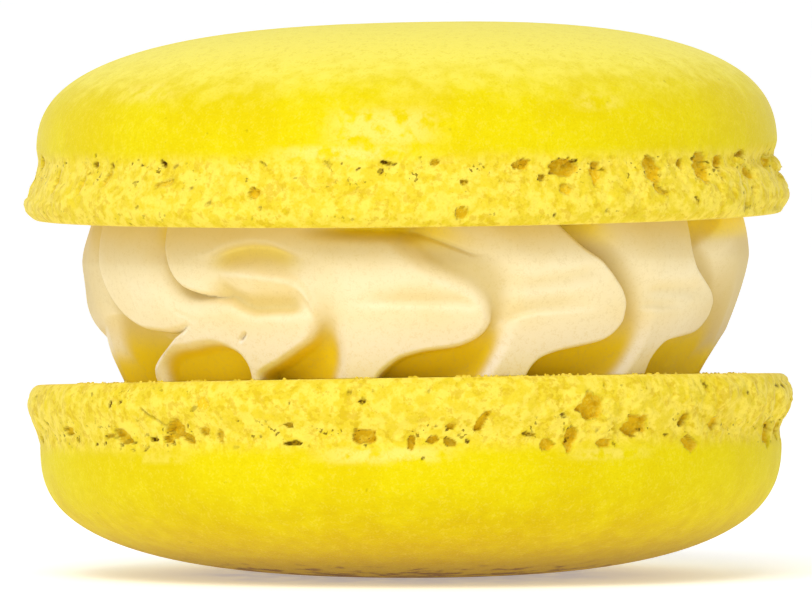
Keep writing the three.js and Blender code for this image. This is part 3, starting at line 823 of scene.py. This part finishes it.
TONGUE = dict(
    line=[(-70, 1.03), (-69.8, 0.92), (-69, 0.77), (-67.8, 0.612), (-65.4, 0.488), (-61.4, 0.378),
          (-56.5, 0.318), (-50.8, 0.307), (-46, 0.333), (-43.5, 0.36)],
    deep=[(0, 1), (0.4, 1), (0.55, 1.2), (0.66, 1.5), (0.76, 1.4), (0.84, 0.9), (0.93, 0.5), (1, 0)],
    roll=[(0, 0.5), (0.5, 0.4), (0.7, 0.4), (0.85, 0.35), (1, 0.3)],
    climb=[(0, 2.5), (0.5, 3), (0.6, 3), (0.7, 2), (0.78, 1.2), (0.88, 0.5), (1, 0.3)],
    flat=[(0, 1), (0.5, 1), (0.65, 2), (1, 1)],
    cover=[(0, 5), (0.85, 5), (0.95, 1.2), (1, 0.3)],
)
FIRST_HOLLOW = dict(
    line=[(-56.3, -0.04), (-55.8, 0.015), (-54.6, 0.08), (-52.2, 0.125), (-48.5, 0.148), (-44.8, 0.158),
          (-41.9, 0.175), (-38.8, 0.182), (-36.3, 0.162), (-34.5, 0.125), (-33.6, 0.06), (-33.5, -0.04)],
    deep=[(0, 0.9), (0.5, 1.1), (1, 1.1)], roll=[(0, 0.5), (0.3, 0.9), (0.6, 0.9), (1, 0.4)],
    climb=9, flat=4, soft=1,
)
UPPER_RIDGE = dict(
    line=[(-46.8, 1.03), (-47, 0.96), (-47, 0.874), (-46.2, 0.766), (-44.9, 0.657), (-42.8, 0.587),
          (-39.2, 0.553), (-35.4, 0.54), (-33, 0.545)],
    deep=[(0, 0.9), (0.35, 1), (0.6, 1.1), (0.8, 0.8), (1, 0)],
    roll=[(0, 0.5), (0.45, 0.5), (0.7, 0.45), (1, 0.4)],
    climb=[(0, 2.2), (0.35, 2.4), (0.7, 1.5), (1, 1)], flat=1,
)
LEFT_FOLDS = [LEFT_BACK, LOWER_ARM, TONGUE, FIRST_HOLLOW, UPPER_RIDGE]
print(sum(len(fold["line"]) for fold in LEFT_FOLDS), "stations")

# %% The folds from the middle to the right
SECOND_LOBE = dict(
    line=[(-30.4, -0.04), (-30, 0.015), (-25.8, 0.09), (-21.4, 0.17), (-18, 0.243), (-16.6, 0.31),
          (-16, 0.385), (-16.2, 0.46), (-17, 0.54), (-18.6, 0.61), (-20.9, 0.68), (-24.2, 0.72),
          (-28, 0.74)],
    deep=[(0, 1.7), (0.3, 1.6), (0.4, 1.3), (0.48, 0.8), (0.56, 0.5), (0.7, 0.35), (0.85, 0.25), (1, 0)],
    roll=[(0, 0.4), (0.35, 0.5), (0.5, 1), (0.6, 1.5), (0.75, 2), (1, 2)],
    climb=[(0, 6.5), (0.25, 5.2), (0.38, 3.4), (0.5, 1.6), (0.7, 2.5), (1, 3)],
    flat=[(0, 3), (0.4, 2), (0.6, 2), (1, 2)], soft=[(0, 0.3), (0.35, 0.5), (0.5, 1), (1, 1)],
)
THIRD_LOBE = dict(
    line=[(-7.4, -0.04), (-6.7, 0.009), (-4.7, 0.073), (-2.8, 0.117), (-1.1, 0.137), (1.6, 0.16),
          (7, 0.184), (10.3, 0.228), (12.5, 0.295), (13.4, 0.38), (13.3, 0.45), (12.8, 0.52), (11.7, 0.6),
          (9.4, 0.682), (6.7, 0.734), (3.8, 0.794), (2.2, 0.841), (0.6, 0.908), (-0.7, 0.967),
          (-1.6, 1.03)],
    deep=[(0, 1.7), (0.33, 1.7), (0.42, 1.2), (0.5, 0.8), (0.65, 0.75), (1, 1)],
    roll=[(0, 0.3), (0.35, 0.35), (0.5, 0.7), (0.6, 1.2), (0.7, 1.6), (1, 1.6)],
    climb=[(0, 6.5), (0.25, 5.2), (0.36, 3.3), (0.48, 1.7), (0.7, 3.2), (1, 4)],
    flat=[(0, 4), (0.36, 3), (0.5, 1.5), (0.65, 2), (1, 2)],
    soft=[(0, 0), (0.45, 0), (0.55, 0.6), (0.65, 1), (1, 1)],
)
FOURTH_LOBE = dict(
    line=[(21.3, -0.04), (21.8, 0.017), (22.4, 0.059), (23.8, 0.107), (27.6, 0.152), (31.6, 0.178),
          (36, 0.212), (38.5, 0.275), (39.7, 0.36), (39.5, 0.45), (38.2, 0.545), (35.8, 0.645),
          (32.6, 0.766), (29.1, 0.851), (25.7, 0.969), (24.2, 1.03)],
    deep=[(0, 1.7), (0.35, 1.7), (0.47, 1.2), (0.62, 1.1), (0.8, 1.4), (1, 1.7)],
    roll=[(0, 0.3), (0.35, 0.35), (0.5, 0.5), (1, 0.4)],
    climb=[(0, 6.5), (0.25, 5.2), (0.38, 3.5), (0.5, 2.4), (0.7, 3.5), (1, 5.5)],
    flat=[(0, 4), (0.38, 3), (0.55, 1), (0.8, 1), (1, 2)],
)
FIFTH_LOBE = dict(
    line=[(50, -0.04), (49.9, 0.007), (49.9, 0.064), (50.5, 0.128), (52.6, 0.195), (56.6, 0.22),
          (61, 0.24), (64.2, 0.3), (65.6, 0.38), (65.5, 0.45), (63.8, 0.527), (60, 0.609), (55.4, 0.711),
          (54, 0.778), (53.4, 0.875), (53.2, 0.966), (53.1, 1.03)],
    deep=[(0, 1.7), (0.3, 1.7), (0.5, 1.6), (0.65, 1.5), (0.8, 1.6), (1, 1.7)],
    roll=[(0, 0.3), (0.35, 0.35), (0.5, 0.5), (1, 0.4)],
    climb=[(0, 6.5), (0.25, 5), (0.4, 4), (0.5, 3), (0.7, 3.5), (1, 5.5)],
    flat=[(0, 4), (0.4, 4), (0.55, 1), (0.8, 1), (1, 2)],
)
RIGHT_FOLDS = [SECOND_LOBE, THIRD_LOBE, FOURTH_LOBE, FIFTH_LOBE]
print(sum(len(fold["line"]) for fold in RIGHT_FOLDS), "stations")

# %% The folds round the sides and the back
SIDE_LOBES = 8


def side_folds(seed):
    """The folds of the lobes round the sides and the back, evenly spread with a little play."""
    dice = np.random.default_rng(seed)
    first, last = FIFTH_LOBE["line"][1][0] + 3, LEFT_BACK["line"][0][0] - 6 + 360
    made = []
    for i in range(1, SIDE_LOBES + 1):
        foot = first + (last - first) * (i + 0.2 * (dice.random() - 0.5)) / (SIDE_LOBES + 1)
        nose = foot + 14 + 3 * dice.random()
        top = foot + 3 + 3 * dice.random()
        low = 0.16 + 0.04 * dice.random()
        made.append(dict(FOURTH_LOBE, roll=0.8, line=[
            (foot - 0.5, -0.04), (foot, 0.02), (foot + 2.2, low * 0.6), (foot + 5.6, low),
            (nose - 4, low + 0.05), (nose - 0.8, low + 0.13), (nose, 0.4), (nose - 0.6, 0.5),
            ((2 * nose + top) / 3, 0.66), ((nose + 2 * top) / 3, 0.82), (top, 1.03)]))
    return made


folds = LEFT_FOLDS + RIGHT_FOLDS + side_folds(5)
print(len(folds), "folds")

# %% [markdown]
# Softer creases run across the lobes. Each is a line of a few stations with a depth in millimetres, and a
# depth below zero raises a ridge. "below" and "above" are the shares over which it fades on each side of
# the line, "ends" says over how many degrees it starts and stops, "gold_shade" how strongly it is painted
# with golden shade and the yellow light that the shells reflect, and "tan" how strongly it is painted with
# tan shade.

# %% Creases across the lobes
CREASES = [
    dict(line=[(-36, 0.775), (-33.6, 0.82), (-30.7, 0.85), (-27.9, 0.862), (-25.2, 0.855), (-22.4, 0.825),
               (-19.5, 0.78)], deep=0.62, below=0.13, above=0.03, ends=(4, 4.5), gold_shade=0.8, tan=0.8),
    dict(line=[(-34, 0.69), (-30.6, 0.69), (-26.4, 0.67), (-22.3, 0.645), (-20, 0.605), (-18.4, 0.53),
               (-17.6, 0.44)], deep=-0.4, below=0.05, above=0.06, ends=(4, 1.2), gold_shade=0),
    dict(line=[(-32.5, 0.258), (-31.8, 0.283), (-31.2, 0.302)], deep=0.4, below=0.012, above=0.012,
         ends=(0.4, 0.4), gold_shade=0.2, tan=0.8),
    dict(line=[(-36.5, 0.565), (-34, 0.555), (-31, 0.5), (-28.5, 0.47), (-25, 0.475), (-20, 0.475)],
         deep=0.85, below=0.05, above=0.1, ends=(3, 2.6), gold_shade=0.2, tan=0.55),
    dict(line=[(-7, 0.5), (-2.6, 0.505), (3.1, 0.5), (6.4, 0.495), (9, 0.47)], deep=0.35, below=0.03,
         above=0.07, ends=(5, 3), gold_shade=0.25, tan=0.7),
    dict(line=[(14, 0.33), (15.5, 0.36), (17.6, 0.408), (21.6, 0.44), (27.2, 0.45), (29, 0.45)], deep=0.35,
         below=0.025, above=0.1, ends=(2, 5), gold_shade=0.2, tan=0.6),
    dict(line=[(16, 0.59), (20.1, 0.6), (25.9, 0.635), (32, 0.69)], deep=0.3, below=0.06, above=0.06,
         ends=(5, 4), gold_shade=0.25, tan=0.7),
    dict(line=[(43.5, 0.45), (45, 0.45), (48.2, 0.445), (51, 0.45)], deep=0.3, below=0.025, above=0.08,
         ends=(1.5, 4), gold_shade=0.15, tan=0.7),
    dict(line=[(44, 0.54), (46.8, 0.545), (57, 0.54)], deep=0.3, below=0.05, above=0.06, ends=(2.5, 4),
         gold_shade=0.25, tan=0.6),
    dict(line=[(-0.7, 0.954), (0.5, 0.941), (4, 0.895), (8.2, 0.831), (9.5, 0.81)], deep=0.22, below=0.014,
         above=0.014, ends=(1, 3), gold_shade=0.6),
    dict(line=[(-15, 0.99), (-7, 0.98), (0, 0.96)], deep=0.9, below=0.05, above=0.2, ends=(6, 4), gold_shade=1),
]


def crease_depth(degrees, share):
    """How deep the creases are, and how strongly they are painted with golden and tan shade."""
    total, crease_gold_shade, crease_tan_shade = np.zeros_like(degrees), np.zeros_like(degrees), np.zeros_like(degrees)
    for crease in CREASES:
        line = crease["line"]
        off = share - through(line, degrees)
        off = off / np.where(off > 0, crease["above"], crease["below"])
        left, right = line[0][0], line[-1][0]
        start, stop = crease["ends"]
        reach = smooth(degrees, left - start, left + start)
        reach *= 1 - smooth(degrees, right - stop, right + stop)
        depth = crease["deep"] * reach * np.exp(-off ** 2)
        total += depth
        crease_gold_shade = np.maximum(crease_gold_shade, crease["gold_shade"] * smooth(depth, 0.1, 0.9))
        crease_tan_shade = np.maximum(crease_tan_shade, crease.get("tan", 0) * smooth(depth, 0.05, 0.8))
    return total, crease_gold_shade, crease_tan_shade


# %% Where a point is beside a line
MM_PER_DEGREE = math.radians(BELLY)
SHEET_HEIGHT = CREAM_THICKNESS / MM
FOLD_SAMPLES = 90
REACH = 8  # mm, the farthest that a fold is felt
NEARNESS = 0.2  # mm


def beside(line, x, y):
    """How far points are from a curve, on which side (left is above 0), and how far along it they are."""
    line = np.array(line) * (MM_PER_DEGREE, SHEET_HEIGHT)
    run = np.append(0, np.cumsum(np.hypot(*np.diff(line, axis=0).T)))
    along = np.linspace(0, 1, FOLD_SAMPLES)
    share = run / run[-1]
    curve = np.stack([through(np.stack([share, line[:, k]], axis=1), along) for k in range(2)], axis=1)
    best = np.full(x.shape, 1e9)
    left = np.zeros(x.shape)
    for start, step in zip(curve[:-1], np.diff(curve, axis=0)):
        dx, dy = x - start[0], y - start[1]
        t = np.clip((dx * step[0] + dy * step[1]) / (step @ step), 0, 1)
        gap = np.hypot(dx - t * step[0], dy - t * step[1])
        closer = gap < best
        best[closer] = gap[closer]
        left[closer] = (step[0] * dy - step[1] * dx)[closer]
    # The place along the curve is an average over the stretch that is about as near as the nearest point.
    weight, at = np.zeros(x.shape), np.zeros(x.shape)
    for place, spot in zip(along, curve):
        pull = np.exp((best - np.hypot(x - spot[0], y - spot[1])) / NEARNESS)
        weight += pull
        at += pull * place
    return best, left > 0, at / weight


# %% Folding the sheet
def press_fold(depth, fold, degrees, share):
    """Adds one fold to the depth of the sheet, for columns of degrees and rows of shares."""
    middle = np.mean([station[0] for station in fold["line"]])
    x = ((degrees - middle + 180) % 360 - 180 + middle) * MM_PER_DEGREE
    ends = [station[0] * MM_PER_DEGREE for station in fold["line"]]
    near = (x > min(ends) - REACH) & (x < max(ends) + REACH)
    x, y = np.meshgrid(x[near], share * SHEET_HEIGHT)
    gap, in_front, at = beside(fold["line"], x, y)
    own = {key: through(value, at) if isinstance(value, list) else value
           for key, value in fold.items() if key != "line"}
    edge = 1 - np.clip(gap / own["roll"], 0, 1)
    soft = own.get("soft", 0)
    rolled = own["deep"] * ((1 - soft) * (1 - np.sqrt(1 - edge ** 2)) + soft * edge ** 2 * (3 - 2 * edge))
    back = np.clip(gap / own["climb"], 0, 1)
    climbed = own["deep"] * (1 - back ** own["flat"]) ** 2
    before = depth[:, near]
    if "cover" in fold:
        before = before * (1 - in_front * (1 - smooth(gap / own["cover"], 0.7, 1)))
    depth[:, near] = np.maximum(before, np.where(in_front, rolled, climbed))


# %% [markdown]
# The sheet's columns are closest across the front, where the finest folds are.

# %% The sheet of points round the cream
CREAM_ROWS = 112
FRONT_COLUMNS = 510
BACK_COLUMNS = 360
FRONT_REACH = 84  # degrees each side of the front


def sheet_depth():
    front = np.linspace(-FRONT_REACH, FRONT_REACH, FRONT_COLUMNS, endpoint=False)
    back = np.linspace(FRONT_REACH, 360 - FRONT_REACH, BACK_COLUMNS, endpoint=False)
    degrees = np.append(front, (back + 180) % 360 - 180)
    share = np.linspace(0, 1, CREAM_ROWS + 1)
    depth = np.zeros((len(share), len(degrees)))
    for fold in folds:
        press_fold(depth, fold, degrees, share)
    grid = np.meshgrid(degrees, share)
    return *grid, depth, *crease_depth(*grid)


# %% The points of the cream and their tints
# Soft patches of painted shade on the sides, golden near the shells and tan between, and swells: degrees,
# height share, half width in degrees, half height as a share, and their strength or their rise in mm.
# SHADE_START has the height share where the painted shade of the upper shell begins.
GOLD_SHADE_PATCHES = [(-81, 0.03, 19, 0.16, 1), (76, 0.03, 24, 0.15, 1), (75, 0.98, 20, 0.11, 0.9)]
TAN_SHADE_PATCHES = [(-90, 0.68, 18, 0.36, 0.9), (92, 0.5, 28, 0.7, 1.15)]
SHADE_START = [(-180, 0.6), (-30, 0.55), (0, 0.62), (15, 0.72), (30, 0.7), (50, 0.6), (180, 0.6)]
SWELLS = [(-88, 0.44, 16, 0.14, 0.32), (-88, 1.0, 18, 0.17, -0.38)]


def face_height(tilt, z, x, y):
    normal = tilted(tilt).to_3x3() @ Vector((0, 0, 1))
    return z - (normal.x * x + normal.y * y) / normal.z


def swell(degrees, share):
    """How far the lobes at the left swell past the crest, in mm."""
    return sum(rise * np.exp(-((degrees - at) / wide) ** 2 - ((share - height) / tall) ** 2)
               for at, height, wide, tall, rise in SWELLS)


def cream_points():
    """The points of the sheet, and for each how much painted golden and tan shade it takes, and how low it
    lies.
    """
    degrees, share, depth, creases, crease_gold_shade, crease_tan_shade = sheet_depth()
    radius = (crest_radius(share) + swell(degrees, share) - depth - creases) * MM
    x = radius * np.sin(np.radians(degrees)) + CREAM_RIGHT
    y = -radius * np.cos(np.radians(degrees))
    low = face_height(LOWER_TILT, LOWER_FACE + SEAM, x, y)
    high = face_height(UPPER_TILT, LOWER_FACE + CREAM_THICKNESS - SEAM, x, y)
    z = low + (high - low) * share
    # Painted shade: golden where the sheet sinks near the shells, standing also for the yellow light that they
    # reflect into the hollows, and tan in every furrow, under the upper shell and on the sides.
    sunk = smooth(depth, 0.2, 0.9)
    low_or_high = np.maximum(1 - smooth(share, 0.16, 0.42), 0.8 * smooth(share, 0.8, 0.98))
    gold_shade = np.maximum(sunk * low_or_high, crease_gold_shade)
    values = {
        "gold_shade": np.maximum(gold_shade, soft_patches(degrees, share, GOLD_SHADE_PATCHES)),
        "tan": np.maximum.reduce([0.9 * sunk, smooth(share, through(SHADE_START, degrees), 1.03), crease_tan_shade,
                                  soft_patches(degrees, share, TAN_SHADE_PATCHES)]),
        # Paler towards the bottom, painted against the yellow light that the lower shell reflects up.
        "low": 1 - smooth(share, 0.05, 0.45),
    }
    return np.stack([x, y, z], axis=-1), values


# %% The cream as a closed solid
def sheet_solid(points, name):
    """Closes a sheet (rows by columns) round the axis, with a fan at the bottom and one at the top."""
    rows, columns = points.shape[:2]
    number = np.arange(rows * columns).reshape(rows, columns)
    onward = np.roll(number, -1, axis=1)
    sides = np.stack([number[:-1], onward[:-1], onward[1:], number[1:]], axis=-1).reshape(-1, 4)
    bottom, top = rows * columns, rows * columns + 1
    faces = sides.tolist()
    faces += [(bottom, b, a) for a, b in zip(number[0].tolist(), onward[0].tolist())]
    faces += [(top, a, b) for a, b in zip(number[-1].tolist(), onward[-1].tolist())]
    every = np.vstack([points.reshape(-1, 3), points[0].mean(axis=0), points[-1].mean(axis=0)])
    mesh = bpy.data.meshes.new(name)
    mesh.from_pydata(every.tolist(), [], faces)
    mesh.shade_smooth()
    return linked(name, mesh)


sheet, tints = cream_points()
cream = sheet_solid(sheet, "macaron_cream")
for key, values in tints.items():
    give_values(cream.data, key, np.append(values.ravel(), [1, 1]))
print("cream:", len(cream.data.polygons), "faces")

# %% [markdown]
# ## The finish of the cream
# Buttercream is smooth, with a soft sheen. Its hollows are painted with golden and tan shade, which also
# stands for the yellow light that the shells reflect into them, and the depth of the furrows, kept as an
# attribute, sets how strongly. The bottom is painted paler against the light bounced up from the lower shell.

# %% The material of the cream
CREAM_IVORY = screen(252, 236, 192)
CREAM_WARM = screen(248, 228, 174)
# The low colour is paler, painted against the yellow light that the lower shell reflects up.
CREAM_PALE_AGAINST_BOUNCE = screen(254, 249, 246)
# Tan painted shade for furrows, under the upper shell and on the sides; it also tints the fine grain.
CREAM_TAN_SHADE_AND_GRAIN = screen(213, 186, 106)
# Golden painted shade, with the yellow light that the shells reflect into the hollows.
CREAM_GOLD_SHADE = screen(247, 217, 32)
CREAM_SURFACE = {"Roughness": 0.5, "Specular IOR Level": 0.3}
CREAM_RELIEF = {"Strength": 0.15, "Distance": 0.03 * MM}


def cream_material():
    material, tree = start_material("cream", CREAM_SURFACE)
    warm = effect(tree, blotches, Size=3.5 * MM, Low=0.4, High=0.65, Detail=4.0)
    fine = effect(tree, grain, Size=0.1 * MM)
    # Over the ivory: warm blotches, a bottom painted paler against bounced yellow light, painted tan and
    # golden shade, and fine tan grain.
    colour = layered(tree, CREAM_IVORY, [
        (warm * 0.6, CREAM_WARM),
        (attribute(tree, "low"), CREAM_PALE_AGAINST_BOUNCE),
        (attribute(tree, "tan") * 0.85, CREAM_TAN_SHADE_AND_GRAIN),
        (attribute(tree, "gold_shade"), CREAM_GOLD_SHADE),
        (ramp(fine, 0.5, 0.62) * 0.2, CREAM_TAN_SHADE_AND_GRAIN),
    ])
    coat(tree, colour, fine, CREAM_RELIEF)
    return material


cream.data.materials.append(cream_material())
print("finish:", cream.data.materials[0].name)

# %% [markdown]
# ## Crumbs
# Breaking and handling leave crumbs on the face of the lower shell, in clusters just outside the cream. Too
# many to place by hand, they are scattered by Geometry Nodes: points in a ring, thinned by noise, and a
# small lump of its own size and turn on each.

# %% Crumbs in Geometry Nodes
CRUMB_INPUTS = {"Int": ["Count", "Seed"], "Float": ["Inner Radius", "Outer Radius", "Smallest", "Largest"],
                "Material": ["Material"]}
CRUMBS = {"Count": 1300, "Seed": 4, "Inner Radius": 17.2 * MM, "Outer Radius": 19.8 * MM,
          "Smallest": 0.03 * MM, "Largest": 0.14 * MM}
CLUSTER_SIZE = 2 * MM
CLUSTER_START = 0.57  # crumbs lie where the noise is above this
LUMP_RADIUS = 1.1  # of the lump of few faces that is scaled for each crumb


def crumb_tree():
    tree, given = new_tree("Crumb ring", "GeometryNodeTree", CRUMB_INPUTS, {"Geometry": ["Crumbs"]})

    def random_number(step, low, high):
        inputs = {2: low, 3: high, 8: given["Seed"] + step}
        return Number(add(tree, "FunctionNodeRandomValue", inputs, data_type="FLOAT").outputs[1])

    def random_vector(step, low, high):
        parts = {k: random_number(step + k, low, high) for k in range(3)}
        return add(tree, "ShaderNodeCombineXYZ", parts).outputs[0]

    turn = random_number(0, 0.0, 2 * math.pi)
    out = random_number(1, given["Inner Radius"], given["Outer Radius"])
    spot = add(tree, "ShaderNodeCombineXYZ",
               {"X": out * maths("SINE", turn), "Y": out * maths("COSINE", turn)})
    points = add(tree, "GeometryNodePoints", {"Count": given["Count"], "Position": spot.outputs[0]})
    place = add(tree, "GeometryNodeInputPosition").outputs[0]
    clusters = noise_in(tree, place, 1 / CLUSTER_SIZE, 1.0)
    kept = add(tree, "GeometryNodeDeleteGeometry", {
        "Geometry": points.outputs[0], "Selection": maths("LESS_THAN", clusters, CLUSTER_START)})
    lump = add(tree, "GeometryNodeMeshIcoSphere", {"Radius": LUMP_RADIUS, "Subdivisions": 1})
    scattered = add(tree, "GeometryNodeInstanceOnPoints", {
        "Points": kept.outputs[0], "Instance": lump.outputs[0],
        "Scale": random_vector(2, given["Smallest"], given["Largest"]),
        "Rotation": random_vector(5, 0.0, 2 * math.pi)})
    end_geometry(tree, scattered.outputs[0], given["Material"])
    return tree


crumbs = grown(crumb_tree(), {**CRUMBS, "Material": lower_finish}, "macaron_crumbs")
loose = placed(points_of(crumbs.data), lower_place)
move_points(crumbs.data, loose)
give_values(crumbs.data, "foot", np.ones(len(loose)))
print("crumbs:", len(crumbs.data.polygons), "faces")

# %% [markdown]
# ## The pieces in the frame
# Each dressed piece stands where its CAD node stands. Printed one above the other, their boxes show how far
# they are apart. Then each piece rides on the body of the CAD model, and its CAD node is hidden. The crumbs
# have no node; they ride on the body too, in the material of the lower shell that they lie on.

# %% Compare the boxes of pieces and nodes
pieces = {"shell_upper": shell_upper, "shell_lower": shell_lower, "cream": cream}
for node_name, piece in pieces.items():
    points = points_of(piece.data)
    for kind, low, high in (("node", *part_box(node_name)), ("piece", points.min(axis=0), points.max(axis=0))):
        print(node_name, kind, [round(value / MM, 2) for value in (*low, *high)])

# %% Put each piece on the body of the CAD model and hide its node
for node_name, piece in pieces.items():
    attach(piece, "root")
    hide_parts(node_name)
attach(crumbs, "root")

# %% [markdown]
# ## The stage
# A pale floor that sweeps up into a backdrop has no visible edge. The light is soft and comes mostly from
# the front and above, as in a light tent.

# %% Floor and backdrop
FLOOR = {"width": 3.0, "front": -1.2, "back": 0.9, "tall": 1.2, "bend": 0.5}  # metres
BEND_STEPS = 12
STAGE_SURFACE = {"Base Color": (0.93, 0.93, 0.93, 1), "Roughness": 0.9, "Specular IOR Level": 0.1,
                 "Emission Color": (1, 1, 1, 1), "Emission Strength": 0.33}


def sweep(name, width, front, back, tall, bend):
    """One strip of faces: flat floor, a quarter bend, and an upright wall."""
    angles = [math.pi / 2 * i / BEND_STEPS for i in range(BEND_STEPS + 1)]
    curve = [(back - bend + bend * math.sin(angle), bend - bend * math.cos(angle)) for angle in angles]
    outline = [(front, 0.0), *curve, (back, tall)]
    points = [(side * width / 2, y, z) for y, z in outline for side in (-1, 1)]
    faces = [(2 * i, 2 * i + 1, 2 * i + 3, 2 * i + 2) for i in range(len(outline) - 1)]
    mesh = bpy.data.meshes.new(name)
    mesh.from_pydata(points, [], faces)
    mesh.shade_smooth()
    mesh.materials.append(start_material("pale_stage", STAGE_SURFACE)[0])
    return linked(name, mesh)


floor = sweep("studio_floor", **FLOOR)
print("floor:", FLOOR["width"], "m wide")

# %% Light
TENT_LIGHT = 0.5
KEY_PLACE = (-0.1, -0.42, 0.46)
KEY_SIZE = 0.4
KEY_POWER = 2.5
KEY_TARGET = (0, 0, 16 * MM)


def aimed(name, data, place, target):
    """A lamp or a camera at one place, turned towards another."""
    made = linked(name, data)
    made.location = place
    made.rotation_euler = (Vector(target) - Vector(place)).to_track_quat("-Z", "Y").to_euler()
    return made


world = bpy.data.worlds.new("light_tent")
world.use_nodes = True
tent = world.node_tree.nodes["Background"].inputs
tent["Color"].default_value = (1, 1, 1, 1)
tent["Strength"].default_value = TENT_LIGHT
bpy.context.scene.world = world
key = bpy.data.lights.new("key", "AREA")
key.energy = KEY_POWER
key.size = KEY_SIZE
aimed("key", key, KEY_PLACE, KEY_TARGET)
print("key light:", KEY_POWER, "W")

# %% Camera
CAMERA_PLACE = (-0.15 * MM, -270 * MM, 11.88 * MM)
CAMERA_TARGET = (-0.15 * MM, 0, 16.18 * MM)
FOCAL_LENGTH = 203.95  # mm
SENSOR_WIDTH = 36  # mm

lens = bpy.data.cameras.new("camera")
lens.lens = FOCAL_LENGTH
lens.sensor_width = SENSOR_WIDTH
bpy.context.scene.camera = aimed("camera", lens, CAMERA_PLACE, CAMERA_TARGET)
bpy.context.scene.view_settings.view_transform = "Standard"
print("camera:", -CAMERA_PLACE[1] / MM, "mm in front")
